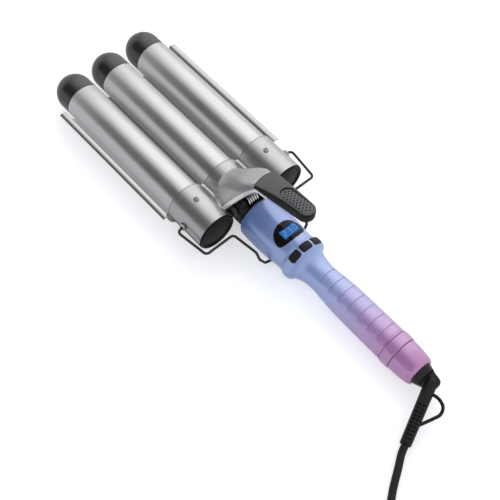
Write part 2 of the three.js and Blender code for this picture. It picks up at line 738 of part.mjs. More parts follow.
function plateStrap() {
  const length = [STRAP_REAR_X, STRAP_FRONT_X];
  const strap = block(length, [-STRAP_HALF_WIDTH, STRAP_HALF_WIDTH], [STRAP_BOTTOM_Z, STRAP_TOP_Z]);
  const trough = rodX(TROUGH_RADIUS - FIT, PLATE_REAR_X - 1, STRAP_FRONT_X + 1);
  const behind = block([-REACH, PLATE_REAR_X - 0.5], [-REACH, REACH], [-REACH, 0]);
  const holes = PLATE_SCREW_XS.map((x) => rodZ(SCREW_SHANK_RADIUS + FIT, -REACH, REACH, x));
  return cut(strap.intersect(join(trough, behind)), ...holes);
}

function plateScrew(x) {
  return panScrew(PLATE_SCREW_LENGTH).rotate([180, 0, 0]).translate([x, 0, STRAP_BOTTOM_Z - RUNNING_FIT]);
}

// Neck, hinge pin and spring

function axisZ(x) {
  const span = HANDLE_FRONT_X - SLEEVE_END_X;
  return lerp(HEAD_AXIS_Z, TAIL_AXIS_Z, (HANDLE_FRONT_X - x) / span);
}

function neck() {
  const z = axisZ(HANDLE_FRONT_X);
  const floor = STRAP_TOP_Z + FIT;
  const body = rodX(NECK_RADIUS, HANDLE_FRONT_X, NECK_FRONT_X, 0, z);
  const everywhere = [-REACH, REACH];
  const spigotSlab = block([HANDLE_FRONT_X - NECK_SPIGOT, HANDLE_FRONT_X + 1], everywhere, everywhere);
  const spigot = handleLoft(HANDLE_WALL + FIT, 2).intersect(spigotSlab);
  const knuckleHalf = HINGE_HALF_WIDTH - EAR_THICKNESS - FIT;
  const knuckle = rodY(NECK_KNUCKLE_RADIUS, -knuckleHalf, knuckleHalf, HINGE_X, HINGE_Z, 28);
  const aboveFloor = block(everywhere, everywhere, [floor, REACH]);
  const whole = join(body, spigot, knuckle).intersect(aboveFloor);
  const pinBore = rodY(PIN_RADIUS + RUNNING_FIT, -knuckleHalf - 1, knuckleHalf + 1, HINGE_X, HINGE_Z);
  const springRadius = SPRING_MEAN_RADIUS + SPRING_WIRE_RADIUS;
  const slot = cut(
    block(
      [HANDLE_FRONT_X + 3 * FIT, REACH],
      [-SPRING_SLOT_HALF_WIDTH, SPRING_SLOT_HALF_WIDTH],
      [HINGE_Z - springRadius - FIT, REACH],
    ),
    rodY(springRadius - 2 * SPRING_WIRE_RADIUS - FIT, -knuckleHalf, knuckleHalf, HINGE_X, HINGE_Z),
  );
  const duct = rodX(WIRE_DUCT_RADIUS, -REACH, REACH, 0, WIRE_DUCT_Z, 12);
  const plateHoleTop = STRAP_BOTTOM_Z + PLATE_SCREW_LENGTH + FIT;
  const screwHoles = PLATE_SCREW_XS.map((x) => rodZ(SCREW_SHANK_RADIUS + FIT, -REACH, plateHoleTop, x));
  const frontScrewX = HANDLE_SCREW_XS[0];
  const handleHoleTop = screwSeatZ(frontScrewX) + FRONT_SCREW_LENGTH + FIT;
  const handleScrewHole = rodZ(SCREW_SHANK_RADIUS + RUNNING_FIT, -REACH, handleHoleTop, frontScrewX);
  return cut(whole, pinBore, slot, duct, ...screwHoles, handleScrewHole);
}

// One wire: a leg on the neck, turns round the pin, a leg up to the hood
class TorsionSpringCurve extends THREE.Curve {
  constructor() {
    super();
    this.turns = SPRING_TURNS + 0.28;
    this.arcLengthDivisions = 400;
    this.coilLength = this.turns * 2 * Math.PI * SPRING_MEAN_RADIUS;
    this.total = SPRING_NECK_LEG + this.coilLength + SPRING_HOOD_LEG;
  }

  coilPoint(turn) {
    const angle = radians(-90) + turn * 2 * Math.PI;
    const y = (turn - this.turns / 2) * SPRING_PITCH;
    return new THREE.Vector3(
      HINGE_X + SPRING_MEAN_RADIUS * Math.cos(angle),
      y,
      HINGE_Z + SPRING_MEAN_RADIUS * Math.sin(angle),
    );
  }

  coilTangent(turn) {
    const angle = radians(-90) + turn * 2 * Math.PI;
    return new THREE.Vector3(-Math.sin(angle), 0, Math.cos(angle));
  }

  getPoint(t, target = new THREE.Vector3()) {
    const s = t * this.total;
    if (s < SPRING_NECK_LEG) {
      return target.copy(this.coilPoint(0)).addScaledVector(this.coilTangent(0), s - SPRING_NECK_LEG);
    }
    if (s < SPRING_NECK_LEG + this.coilLength) {
      return target.copy(this.coilPoint(((s - SPRING_NECK_LEG) / this.coilLength) * this.turns));
    }
    const past = s - SPRING_NECK_LEG - this.coilLength;
    return target.copy(this.coilPoint(this.turns)).addScaledVector(this.coilTangent(this.turns), past);
  }
}

function torsionSpring() {
  return tube(new TorsionSpringCurve(), SPRING_WIRE_RADIUS, 13 * SPRING_TURNS + 6, 6);
}

// Lever

function alongLever(x) {
  return Math.min(Math.max((LEVER_FRONT_X - x) / LEVER_LENGTH, 0), 1);
}

function leverTopZ(x) {
  return HOOD_TOP_Z - LEVER_SEAT_DROP + LEVER_RISE * (1 - (1 - alongLever(x)) ** 1.7);
}

function leverBottomZ(x) {
  const t = alongLever(x);
  return HOOD_TOP_Z + lerp(-LEVER_FRONT_DEPTH, LEVER_REAR_LIFT, t) - LEVER_BELLY * Math.sin(Math.PI * t);
}

function leverHalfWidth(x) {
  const t = alongLever(x);
  const straight = lerp(LEVER_ROOT_HALF_WIDTH, LEVER_TIP_HALF_WIDTH, 1 - (1 - t) ** 1.8);
  const toTip = LEVER_LENGTH * (1 - t);
  if (toTip >= LEVER_TIP_HALF_WIDTH) return straight;
  const round = Math.sqrt(LEVER_TIP_HALF_WIDTH ** 2 - (LEVER_TIP_HALF_WIDTH - toTip) ** 2);
  return Math.max(Math.min(straight, round), 0.6);
}

// Everything in front of the arc where the lever meets the hood
function aheadOfLever(grow) {
  const centre = LEVER_FRONT_X - LEVER_FRONT_ARC;
  const ahead = block([centre, REACH], [-REACH, REACH], [0, REACH]);
  return cut(ahead, rodZ(LEVER_FRONT_ARC + grow, -REACH, 2 * REACH, centre, 0, 48));
}

function leverRing(x, inset, drop) {
  const half = Math.max(leverHalfWidth(x) - inset, 0.5);
  const top = leverTopZ(x) - inset;
  const bottom = leverBottomZ(x) - drop;
  const crown = LEVER_CROWN;
  const edge = Math.min(LEVER_EDGE, half * 0.4);
  const outline = [
    [half, bottom],
    [half, top - crown - edge],
    [half - edge * 0.3, top - crown - edge * 0.3],
    [half - edge, top - crown],
    [half * 0.5, top - crown * 0.25],
    [0, top],
  ];
  const mirrored = outline.slice(0, -1).reverse().map(([y, z]) => [-y, z]);
  return [...outline, ...mirrored].map(([y, z]) => new THREE.Vector3(x, y, z));
}

const LEVER_STATIONS = [0, 0.08, 0.2, 0.34, 0.48, 0.62, 0.76, 0.86, 0.92, 0.96, 0.985, 1];

function leverLoft(inset, drop, lengthen) {
  const rings = LEVER_STATIONS.map((t) => {
    const x = LEVER_FRONT_X - t * LEVER_LENGTH;
    const shifted = lerp(x + lengthen, x + inset, t);
    const ring = leverRing(x, inset, drop);
    return ring.map((p) => new THREE.Vector3(shifted, p.y, p.z));
  });
  return loft(rings);
}

function padOutline(grow) {
  const rear = LEVER_FRONT_X - LEVER_LENGTH + LEVER_PAD_SETBACK - grow;
  const front = rear + LEVER_PAD_LENGTH + 2 * grow;
  const half = LEVER_TIP_HALF_WIDTH - LEVER_PAD_MARGIN + grow;
  return [
    ...arc(rear + half, 0, half, 90, 270, 10),
    ...arc(front - half, 0, half, -90, 90, 10),
  ];
}

function lever() {
  const outer = leverLoft(0, 0, 0);
  const hollow = leverLoft(LEVER_WALL, LEVER_WALL, LEVER_WALL);
  const pocket = slabZ(padOutline(FIT), [0, REACH]).intersect(padBed(LEVER_PAD_THICKNESS));
  return cut(outer, hollow, aheadOfLever(0), pocket);
}

// Everything from a given depth below the lever's top upwards
function padBed(depth) {
  const half = 2 * LEVER_TIP_HALF_WIDTH;
  const rings = LEVER_STATIONS.map((t) => {
    const x = LEVER_FRONT_X - t * LEVER_LENGTH - (t === 1 ? 1 : 0);
    const z = leverTopZ(x) - depth;
    return [[half, z], [half, REACH], [-half, REACH], [-half, z]].map(([y, h]) => new THREE.Vector3(x, y, h));
  });
  return loft(rings);
}

function leverPad() {
  const column = slabZ(padOutline(0), [0, REACH]);
  const under = padBed(LEVER_PAD_THICKNESS - FIT);
  const over = padBed(-LEVER_PAD_PROUD);
  return cut(column.intersect(under), over);
}

// Handle

// Rows of [x, half width, height above the axis, depth below the axis, belly roundness]
function handleRows() {
  const head = HEAD_HALF_WIDTH;
  const belly = axisZ(COLLAR_FRONT_X) - BELLY_Z;
  const collarDepth = axisZ(COLLAR_FRONT_X) - TABLE_Z + 0.6;
  const atHead = (t) => HANDLE_FRONT_X - t * HEAD_LENGTH;
  const atCollar = (t) => COLLAR_FRONT_X - t * COLLAR_LENGTH;
  const atWaist = (t) => WAIST_FRONT_X - t * WAIST_LENGTH;
  const atGrip = (t) => GRIP_FRONT_X - t * GRIP_LENGTH;
  const atGripRadius = (t) => lerp(WAIST_RADIUS, GRIP_RADIUS, t);
  const round = (x, radius) => [x, radius, radius, radius, 1];
  return [
    [atHead(0), head - 0.9, head - 1.9, belly - 0.5, BELLY_ROUNDNESS],
    [atHead(0.03), head - 0.2, head - 1.2, belly, BELLY_ROUNDNESS],
    [atHead(0.22), head + 0.5, head - 0.9, belly, BELLY_ROUNDNESS],
    [atHead(0.6), head + 0.1, head - 0.9, belly, BELLY_ROUNDNESS],
    [atHead(0.9), head - 1, head - 0.9, belly, lerp(BELLY_ROUNDNESS, 1, 0.3)],
    [atHead(0.97), head - 0.6, head - 0.2, belly + 0.6, lerp(BELLY_ROUNDNESS, 1, 0.5)],
    [atCollar(0.12), COLLAR_RADIUS - 0.7, COLLAR_RADIUS - 0.7, collarDepth - 0.6, 0.9],
    [atCollar(0.45), COLLAR_RADIUS, COLLAR_RADIUS, collarDepth, 0.95],
    [atCollar(0.75), COLLAR_RADIUS - 0.4, COLLAR_RADIUS - 0.4, collarDepth - 0.2, 1],
    [atCollar(1), COLLAR_RADIUS - 2, COLLAR_RADIUS - 2, collarDepth - 1.4, 1],
    [atWaist(0.1), COLLAR_RADIUS - 4.9, COLLAR_RADIUS - 5, WAIST_RADIUS + 3.4, 1],
    [atWaist(0.26), WAIST_RADIUS + 1.4, WAIST_RADIUS + 1.3, WAIST_RADIUS + 1.6, 1],
    round(atWaist(0.5), WAIST_RADIUS + 0.2),
    round(atWaist(0.8), WAIST_RADIUS),
    round(atGrip(0), atGripRadius(0.28)),
    round(atGrip(0.13), atGripRadius(0.62)),
    round(atGrip(0.32), atGripRadius(0.9)),
    round(atGrip(1), GRIP_RADIUS),
  ];
}

// A section round the handle's axis. Roundness below 1 squares the lower half.
function sectionRing(x, half, up, down, z, roundness = 1, sides = HANDLE_SIDES) {
  return Array.from({ length: sides }, (_, i) => {
    const angle = ((i + 0.5) / sides) * 2 * Math.PI;
    const [c, s] = [Math.cos(angle), Math.sin(angle)];
    if (s > 0) return new THREE.Vector3(x, half * c, z + up * s);
    const y = half * Math.sign(c) * Math.abs(c) ** roundness;
    return new THREE.Vector3(x, y, z - down * Math.abs(s) ** roundness);
  });
}

function handleLoft(inset, lengthen = 0) {
  const rows = handleRows();
  const sides = inset > 0 ? HANDLE_INNER_SIDES : HANDLE_SIDES;
  const rings = rows.map(([x, half, up, down, roundness], i) => {
    const end = i === 0 ? lengthen : (i === rows.length - 1 ? -lengthen : 0);
    return sectionRing(x + end, half - inset, up - inset, down - inset, axisZ(x), roundness, sides);
  });
  return loft(rings);
}

// Everything above (side 1) or below (side -1) the handle's parting plane
function partingHalf(side, gap) {
  const x0 = HANDLE_FRONT_X + 2;
  const x1 = SLEEVE_END_X - 2;
  const far = side * REACH;
  return slabY([
    [x0, axisZ(x0) + side * gap],
    [x1, axisZ(x1) + side * gap],
    [x1, far],
    [x0, far],
  ], [-REACH, REACH]);
}

function displayOutline(grow) {
  const middle = DISPLAY_REAR_X + 6;
  const half = DISPLAY_HALF_WIDTH + grow;
  const front = DISPLAY_FRONT_X - middle + grow;
  const rear = middle - DISPLAY_REAR_X + grow;
  const points = [];
  const steps = 24;
  for (let i = 0; i < steps; i += 1) {
    const angle = (i / steps) * 2 * Math.PI;
    const [c, s] = [Math.cos(angle), Math.sin(angle)];
    const power = c < 0 ? 0.62 : 1;
    const depth = c < 0 ? rear : front;
    const x = middle + Math.sign(c) * depth * Math.abs(c) ** power;
    points.push([x, half * Math.sign(s) * Math.abs(s) ** 0.86]);
  }
  return points;
}

const LCD_X = (DISPLAY_FRONT_X + DISPLAY_REAR_X) / 2 - 0.4;

function lcdBlock(grow, z) {
  const halfX = LCD_LENGTH / 2 + grow;
  const halfY = LCD_WIDTH / 2 + grow;
  return block([LCD_X - halfX, LCD_X + halfX], [LCD_Y - halfY, LCD_Y + halfY], z);
}

function displayWindow() {
  const column = slabZ(displayOutline(0), [0, REACH]);
  const face = cut(handleLoft(-0.1), handleLoft(DISPLAY_THICKNESS));
  return cut(column.intersect(face), lcdBlock(FIT, [0, REACH]));
}

function lcdPanel() {
  const top = axisZ(LCD_X) + HEAD_HALF_WIDTH - 1.9;
  return lcdBlock(0, [top - LCD_THICKNESS, top]);
}

const BUTTON_CUT_LOW = 0.25 * COLLAR_RADIUS;
const BUTTON_CUT_HIGH = 2 * COLLAR_RADIUS;

// A column across the collar for one button, tilted round the handle's axis
function buttonColumn(lane, grow, low, high) {
  const x = (COLLAR_FRONT_X + WAIST_FRONT_X) / 2;
  const z = axisZ(x);
  const halfX = BUTTON_LENGTH / 2 + grow;
  const halfY = BUTTON_WIDTH / 2 + grow;
  const column = block([x - halfX, x + halfX], [-halfY, halfY], [low, high]);
  return column.rotate([-lane * BUTTON_SPREAD_DEG, 0, 0]).translate([0, 0, z]);
}

function button(lane) {
  const skin = cut(handleLoft(-BUTTON_RISE), handleLoft(BUTTON_THICKNESS));
  return buttonColumn(lane, 0, BUTTON_CUT_LOW, BUTTON_CUT_HIGH).intersect(skin);
}

function panelBand(grow) {
  const front = GRIP_FRONT_X + 8 + grow;
  const rear = front - PANEL_STEPS * PANEL_PITCH + 2 * -grow;
  const half = PANEL_HALF_WIDTH + grow;
  return slabZ([
    ...arc(front - half, 0, half, -60, 60, 8),
    [rear, half],
    [rear, -half],
  ], [0, REACH]);
}

function panelSkin() {
  const rings = [];
  const front = GRIP_FRONT_X + 8;
  for (let step = 0; step < PANEL_STEPS; step += 1) {
    const high = front - step * PANEL_PITCH;
    const low = high - PANEL_PITCH;
    rings.push(gripRing(high - 0.01, 0.05), gripRing(low + 0.7, PANEL_STEP_HEIGHT));
  }
  rings.push(gripRing(front - PANEL_STEPS * PANEL_PITCH, 0.05));
  return loft(rings);
}

function gripRing(x, rise) {
  const rows = handleRows();
  const next = rows.findIndex((row) => row[0] <= x);
  const [a, b] = [rows[next - 1], rows[next]];
  const t = (a[0] - x) / (a[0] - b[0]);
  const radius = lerp(a[1], b[1], t) + rise;
  return sectionRing(x, radius, radius, radius, axisZ(x));
}

function gripPanel() {
  const skin = cut(panelSkin(), handleLoft(PANEL_THICKNESS));
  return panelBand(0).intersect(skin);
}

function upperShell() {
  const shell = cut(handleLoft(0), handleLoft(HANDLE_WALL, 5)).intersect(partingHalf(1, 0));
  const inside = handleLoft(HANDLE_WALL - 0.5).intersect(partingHalf(1, 0));
  const boss = rodZ(SCREW_BOSS_RADIUS - 1, -REACH, REACH, HANDLE_SCREW_XS[1]).intersect(inside);
  const windowHole = slabZ(displayOutline(FIT), [0, REACH]);
  const holes = LANES.map(([, lane]) => buttonColumn(lane, FIT, BUTTON_CUT_LOW, BUTTON_CUT_HIGH));
  const panelSeat = panelBand(FIT).intersect(cut(handleLoft(-3), handleLoft(PANEL_THICKNESS + FIT)));
  const pilotTop = screwSeatZ(HANDLE_SCREW_XS[1]) + REAR_SCREW_LENGTH + FIT;
  const pilot = rodZ(SCREW_SHANK_RADIUS + RUNNING_FIT, -REACH, pilotTop, HANDLE_SCREW_XS[1]);
  return cut(join(shell, boss), windowHole, ...holes, panelSeat, pilot);
}

function lowerShell() {
  const shell = cut(handleLoft(0), handleLoft(HANDLE_WALL, 5)).intersect(partingHalf(-1, FIT));
  const [, rearX] = HANDLE_SCREW_XS;
  const inside = handleLoft(HANDLE_WALL - 0.5).intersect(partingHalf(-1, FIT));
  const boss = rodZ(SCREW_BOSS_RADIUS, -REACH, REACH, rearX).intersect(inside);
  const shanks = HANDLE_SCREW_XS.map((x) => rodZ(SCREW_SHANK_RADIUS + FIT, -REACH, 0, x));
  const seats = HANDLE_SCREW_XS.map((x) => rodZ(SCREW_HEAD_RADIUS + FIT, -REACH, screwSeatZ(x), x));
  const table = block([SLEEVE_END_X, HANDLE_FRONT_X], [-REACH, REACH], [-REACH, TABLE_Z]);
  return cut(join(shell, boss), ...shanks, ...seats, table);
}

function screwSeatZ(x) {
  const rearX = HANDLE_SCREW_XS[1];
  const recess = SCREW_HEAD_HEIGHT + RUNNING_FIT;
  return x === rearX ? axisZ(x) - GRIP_RADIUS + recess + 2 : BELLY_Z + recess;
}

function handleScrew(x) {
  const length = x === HANDLE_SCREW_XS[1] ? REAR_SCREW_LENGTH : FRONT_SCREW_LENGTH;
  return panScrew(length).rotate([180, 0, 0]).translate([x, 0, screwSeatZ(x) - RUNNING_FIT]);
}

// Board behind the display, with one switch post under each button
function circuitBoard() {
  const rear = WAIST_FRONT_X - 1;
  const front = HANDLE_FRONT_X - NECK_SPIGOT - 2;
  const board = block([rear, front], [-11.5, 11.5], [BOARD_Z, BOARD_Z + BOARD_THICKNESS]);
  const riser = lcdBlock(-1.5, [BOARD_Z + 1, axisZ(LCD_X) + HEAD_HALF_WIDTH - 1.9 - LCD_THICKNESS - FIT]);
  const reach = COLLAR_RADIUS - BUTTON_THICKNESS - 1.5;
  const posts = LANES.map(([, lane]) => buttonColumn(lane, -2.8, BOARD_Z - axisZ(rear), reach));
  const slab = block([-REACH, front], [-REACH, REACH], [BOARD_Z + FIT, REACH]);
  return join(board, riser, ...posts.map((post) => post.intersect(slab)));
}

// Tail: a raised ring, a sleeve and the swivel that turns in it

function tailRing() {
  const [x0, x1] = [RING_FRONT_X - FIT, SLEEVE_FRONT_X];
  const edge = 0.8;
  const rings = [
    sectionRing(x0, RING_RADIUS - edge, RING_RADIUS - edge, RING_RADIUS - edge, axisZ(x0)),
    sectionRing(x0 - edge, RING_RADIUS, RING_RADIUS, RING_RADIUS, axisZ(x0)),
    sectionRing(x1 + edge, RING_RADIUS, RING_RADIUS, RING_RADIUS, axisZ(x1)),
    sectionRing(x1, RING_RADIUS - edge, RING_RADIUS - edge, RING_RADIUS - edge, axisZ(x1)),
  ];
  return cut(loft(rings), rodX(GRIP_RADIUS - HANDLE_WALL, x0 + 1, x1 - 1, 0, axisZ(x0)));
}

const SWIVEL_BORE = SWIVEL_BASE_RADIUS + FIT;

function tailSleeve() {
  const x0 = SLEEVE_FRONT_X - FIT;
  const profile = [
    [0, RING_RADIUS - 0.7],
    [0.3, RING_RADIUS - 0.8],
    [0.62, RING_RADIUS - 1.4],
    [0.86, SLEEVE_END_RADIUS + 0.5],
    [0.96, SLEEVE_END_RADIUS],
    [1, SLEEVE_END_RADIUS - 0.9],
  ];
  const rings = profile.map(([t, r]) => {
    const x = lerp(x0, SLEEVE_END_X, t);
    return sectionRing(x, r, r, r, axisZ(x));
  });
  const z = axisZ(SLEEVE_END_X);
  const bore = rodX(SWIVEL_BORE, SLEEVE_END_X - 1, x0 + 1, 0, z, 24);
  const pocket = rodX(SWIVEL_BORE + SWIVEL_FLANGE, SLEEVE_END_X + 4, SLEEVE_END_X + 8, 0, z, 24);
  return cut(loft(rings), bore, pocket);
}

function swivelCone() {
  const inner = SLEEVE_END_X + 10;
  const flangeRear = SLEEVE_END_X + 4 + FIT;
  const flangeFront = SLEEVE_END_X + 8 - FIT;
  const profile = [
    [inner, 0],
    [inner, SWIVEL_BASE_RADIUS],
    [flangeFront, SWIVEL_BASE_RADIUS],
    [flangeFront, SWIVEL_BASE_RADIUS + SWIVEL_FLANGE - FIT],
    [flangeRear, SWIVEL_BASE_RADIUS + SWIVEL_FLANGE - FIT],
    [flangeRear, SWIVEL_BASE_RADIUS],
    [SLEEVE_END_X + 0.5, SWIVEL_BASE_RADIUS],
    [SWIVEL_PIVOT_X + 2, SWIVEL_END_RADIUS + 0.5],
    [SWIVEL_PIVOT_X - 2, SWIVEL_END_RADIUS],
    [SWIVEL_PIVOT_X - TONGUE_RADIUS, SWIVEL_END_RADIUS - 2],
    [SWIVEL_PIVOT_X - TONGUE_RADIUS, 0],
  ];
  const body = turnX(profile, 24);
  const clearance = RELIEF_ROOT_RADIUS + 2 * FIT;
  const pockets = [1, -1].map((side) => {
    const z = [side * TONGUE_HALF_THICKNESS, side * REACH].sort((a, b) => a - b);
    return block([SWIVEL_PIVOT_X - REACH, SWIVEL_PIVOT_X + clearance], [-REACH, REACH], z);
  });
  const tongueEnd = cut(
    block([SWIVEL_PIVOT_X - REACH, SWIVEL_PIVOT_X], [-REACH, REACH], [-REACH, REACH]),
    rodZ(TONGUE_RADIUS, -2 * REACH, 2 * REACH, SWIVEL_PIVOT_X, 0, 20),
  );
  const pinBore = rodZ(TONGUE_PIN_RADIUS + RUNNING_FIT, -REACH, REACH, SWIVEL_PIVOT_X, 0);
  return turned(cut(body, ...pockets, tongueEnd, pinBore));
}

// Turns a piece about the swivel's axis to the angle the cord has pulled it to
const SWIVEL_ROLL_DEG = -Math.atan2(
  Math.sin(radians(RELIEF_PITCH_DEG)),
  Math.cos(radians(RELIEF_PITCH_DEG)) * Math.sin(radians(RELIEF_YAW_DEG)),
) * (180 / Math.PI);

function turned(solid) {
  return solid.rotate([SWIVEL_ROLL_DEG, 0, 0]).translate([0, 0, axisZ(SLEEVE_END_X)]);
}

const RELIEF_BEND_DEG = THREE.MathUtils.radToDeg(
  Math.acos(Math.cos(radians(RELIEF_PITCH_DEG)) * Math.cos(radians(RELIEF_YAW_DEG))),
);

// Drawn pointing to -X from the pivot, then bent about Z and rolled about X
function bentRelief(solid) {
  return turned(solid.rotate([0, 0, -RELIEF_BEND_DEG]).translate([SWIVEL_PIVOT_X, 0, 0]));
}

function strainRelief() {
  const head = arc(0, 0, RELIEF_ROOT_RADIUS, 0, 90, 5);
  const profile = [
    ...head,
    [-RELIEF_LENGTH + 1, RELIEF_END_RADIUS],
    [-RELIEF_LENGTH, RELIEF_END_RADIUS - 0.8],
    [-RELIEF_LENGTH, 0],
  ];
  const body = turnX(profile, 16);
  const fork = block(
    [-TONGUE_RADIUS - 1.1, RELIEF_ROOT_RADIUS + 1],
    [-12, 12],
    [-TONGUE_HALF_THICKNESS - FIT, TONGUE_HALF_THICKNESS + FIT],
  );
  const pin = rodZ(TONGUE_PIN_RADIUS, -RELIEF_ROOT_RADIUS * 0.8, RELIEF_ROOT_RADIUS * 0.8, 0, 0, 12);
  const loop = tube(new THREE.CatmullRomCurve3([
    new THREE.Vector3(-7.5, -3, 0),
    new THREE.Vector3(-9, -9.5, 0),
    new THREE.Vector3(-13.5, -14.6, 0),
    new THREE.Vector3(-19.5, -15, 0),
    new THREE.Vector3(-25, -11, 0),
    new THREE.Vector3(-34, -3, 0),
  ]), LOOP_WIRE_RADIUS, 15, 6);
  return join(cut(body, fork, ...reliefSlots()), pin, loop);
}

// Two rows of slots on the top and two below let the relief flex
function reliefSlots() {
  const slots = [];
  for (const side of [1, -1]) {
    for (let i = 0; i < RELIEF_SLOTS; i += 1) {
      const x = -RELIEF_LENGTH + 4 + i * RELIEF_SLOT_PITCH;
      const z = [side * 3, side * 8].sort((a, b) => a - b);
      slots.push(block([x, x + RELIEF_SLOT_WIDTH], [-2.9, -0.5], z));
      slots.push(block([x, x + RELIEF_SLOT_WIDTH], [0.5, 2.9], z));
    }
  }
  return slots;
}

// Stand wire and its bushes

function standCorners() {
  const crossZ = TABLE_Z + STAND_WIRE_RADIUS + 0.3;
  const half = [
    [STAND_PIVOT_X, OUTER_Y - BUSH_DEPTH - 0.4, STAND_PIVOT_Z],
    [STAND_PIVOT_X, STAND_PIVOT_HALF_WIDTH, STAND_PIVOT_Z],
    [STAND_ARM_X, STAND_ARM_HALF_WIDTH, STAND_PIVOT_Z - 0.5],
    [STAND_ARM_X + 0.9, STAND_INNER_HALF_WIDTH, 0],
    [STAND_ARM_X - 23, STAND_INNER_HALF_WIDTH - 3, 0],
    [STAND_ARM_X - 27, STAND_INNER_HALF_WIDTH - 3.4, -6],
    [STAND_ARM_X - 28, STAND_INNER_HALF_WIDTH - 9, crossZ + 3.4],
    [STAND_ARM_X - 28, STAND_INNER_HALF_WIDTH - 15.5, crossZ],
  ];
  const left = half.map(([x, y, z]) => new THREE.Vector3(x, y, z));
  const right = half.map(([x, y, z]) => new THREE.Vector3(x, -y, z)).reverse();
  return [...left, ...right];
}

function wireStand() {
  const path = new BentWireCurve(standCorners(), STAND_BEND_RADIUS);
  return tube(path, STAND_WIRE_RADIUS, path.steps, 6);
}

function standBush(side) {
  const skin = OUTER_Y + RUNNING_FIT;
  const onAxis = (radius, y0, y1) => rodY(radius, side * y0, side * y1, STAND_PIVOT_X, STAND_PIVOT_Z, 12);
  const flange = onAxis(BUSH_FLANGE_RADIUS, skin, skin + BUSH_FLANGE);
  const stem = onAxis(BUSH_STEM_RADIUS, OUTER_Y - BUSH_DEPTH, skin + BUSH_FLANGE / 2);
  const bore = onAxis(STAND_WIRE_RADIUS + FIT, 0, OUTER_Y + REACH);
  return cut(join(flange, stem), bore);
}

// Cord

const CORD_Z = TABLE_Z + CORD_RADIUS + 0.1;

function reliefPoint(distance) {
  const yaw = radians(RELIEF_YAW_DEG);
  const pitch = radians(RELIEF_PITCH_DEG);
  return new THREE.Vector3(
    SWIVEL_PIVOT_X - distance * Math.cos(pitch) * Math.cos(yaw),
    distance * Math.cos(pitch) * Math.sin(yaw),
    axisZ(SLEEVE_END_X) - distance * Math.sin(pitch),
  );
}

function coilPoint(deg, radius, z) {
  const angle = radians(deg);
  return new THREE.Vector3(
    COIL_CENTRE[0] + radius * Math.cos(angle),
    COIL_CENTRE[1] + radius * Math.sin(angle),
    z,
  );
}

function coilHeading(deg) {
  return new THREE.Vector3(-Math.sin(radians(deg)), Math.cos(radians(deg)), 0);
}

// Where the coil's straight end begins or stops
function coilEnd(deg, z, distance) {
  return coilPoint(deg, COIL_OUTER_RADIUS, z).addScaledVector(coilHeading(deg), distance);
}

function cordLead() {
  const from = RELIEF_LENGTH + FIT;
  const back = (distance) => coilEnd(COIL_START_DEG, CORD_Z, -2 * CORD_RADIUS - FIT - distance);
  const curve = new THREE.CatmullRomCurve3([
    reliefPoint(from),
    reliefPoint(from + 6),
    new THREE.Vector3(-266.5, 61.5, CORD_Z + 1),
    new THREE.Vector3(-276, 77, CORD_Z + 0.1),
    new THREE.Vector3(-290, 96, CORD_Z + 0.1),
    back(7),
    back(0),
  ], false, 'centripetal');
  return tube(curve, CORD_RADIUS, 13, 8);
}

// Spirals in along the bottom layer, climbs one layer and spirals out again,
// with a straight run of one cord diameter at each end
class FlatCoilCurve extends THREE.Curve {
  constructor() {
    super();
    this.arcLengthDivisions = 1200;
    this.turns = 2 * COIL_TURNS_PER_LAYER + (COIL_END_DEG - COIL_START_DEG) / 360;
    this.straight = 2 * CORD_RADIUS;
    this.margin = 0.006;
  }

  spiral(turn) {
    const half = this.turns / 2;
    const inward = turn < half ? turn : this.turns - turn;
    const radius = COIL_OUTER_RADIUS - COIL_PITCH * inward;
    const climb = smooth(turn, half - 0.25, half + 0.25);
    return coilPoint(COIL_START_DEG + turn * 360, radius, CORD_Z + COIL_PITCH * climb);
  }

  getPoint(t, target = new THREE.Vector3()) {
    const along = (t - this.margin) / (1 - 2 * this.margin);
    if (along >= 0 && along <= 1) return target.copy(this.spiral(along * this.turns));
    const [end, deg] = along < 0 ? [0, COIL_START_DEG] : [this.turns, COIL_END_DEG];
    const past = (along < 0 ? t - this.margin : t - 1 + this.margin) / this.margin;
    return target.copy(this.spiral(end)).addScaledVector(coilHeading(deg), past * this.straight);
  }
}

// The smallest gap between stretches of a tube that lie more than half a turn apart
function leastSelfGap(curve, radius, samples, apart) {
  const points = curve.getSpacedPoints(samples);
  let least = Infinity;
  for (let i = 0; i < points.length; i += 1) {
    for (let j = i + apart; j < points.length; j += 1) {
      least = Math.min(least, points[i].distanceTo(points[j]));
    }
  }
  return least - 2 * radius;
}

function cordCoil() {
  const curve = new FlatCoilCurve();
  const samples = 48 * 2 * COIL_TURNS_PER_LAYER;
  const gap = leastSelfGap(curve, CORD_RADIUS, samples, 16);
  console.log(`least gap between the coil's turns: ${gap.toFixed(2)} mm`);
  return tube(curve, CORD_RADIUS, COIL_STEPS_PER_TURN * 2 * COIL_TURNS_PER_LAYER, 6);
}

const PLUG_HEADING_DEG = 190;

function plugEntry() {
  return new THREE.Vector3(-412, 134.5, TABLE_Z + PLUG_BODY[2] / 2);
}

function cordTail() {
  const topZ = CORD_Z + COIL_PITCH;
  const ahead = (distance) => coilEnd(COIL_END_DEG, topZ, 2 * CORD_RADIUS + FIT + distance);
  const angle = radians(PLUG_HEADING_DEG);
  const heading = new THREE.Vector3(Math.cos(angle), Math.sin(angle), 0);
  const entry = plugEntry();
  const short = (distance) => entry.clone().addScaledVector(heading, -distance);
  const curve = new THREE.CatmullRomCurve3([
    ahead(0),
    ahead(6),
    new THREE.Vector3(-372, 141.5, CORD_Z + 4.2),
    new THREE.Vector3(-388, 138.8, CORD_Z + 1.1),
    short(6 + FIT),
    short(FIT),
  ], false, 'centripetal');
  return tube(curve, CORD_RADIUS, 13, 8);
}

function onPlug(solid) {
  const entry = plugEntry();
  return solid.rotate([0, 0, PLUG_HEADING_DEG]).translate([entry.x, entry.y, entry.z]);
}

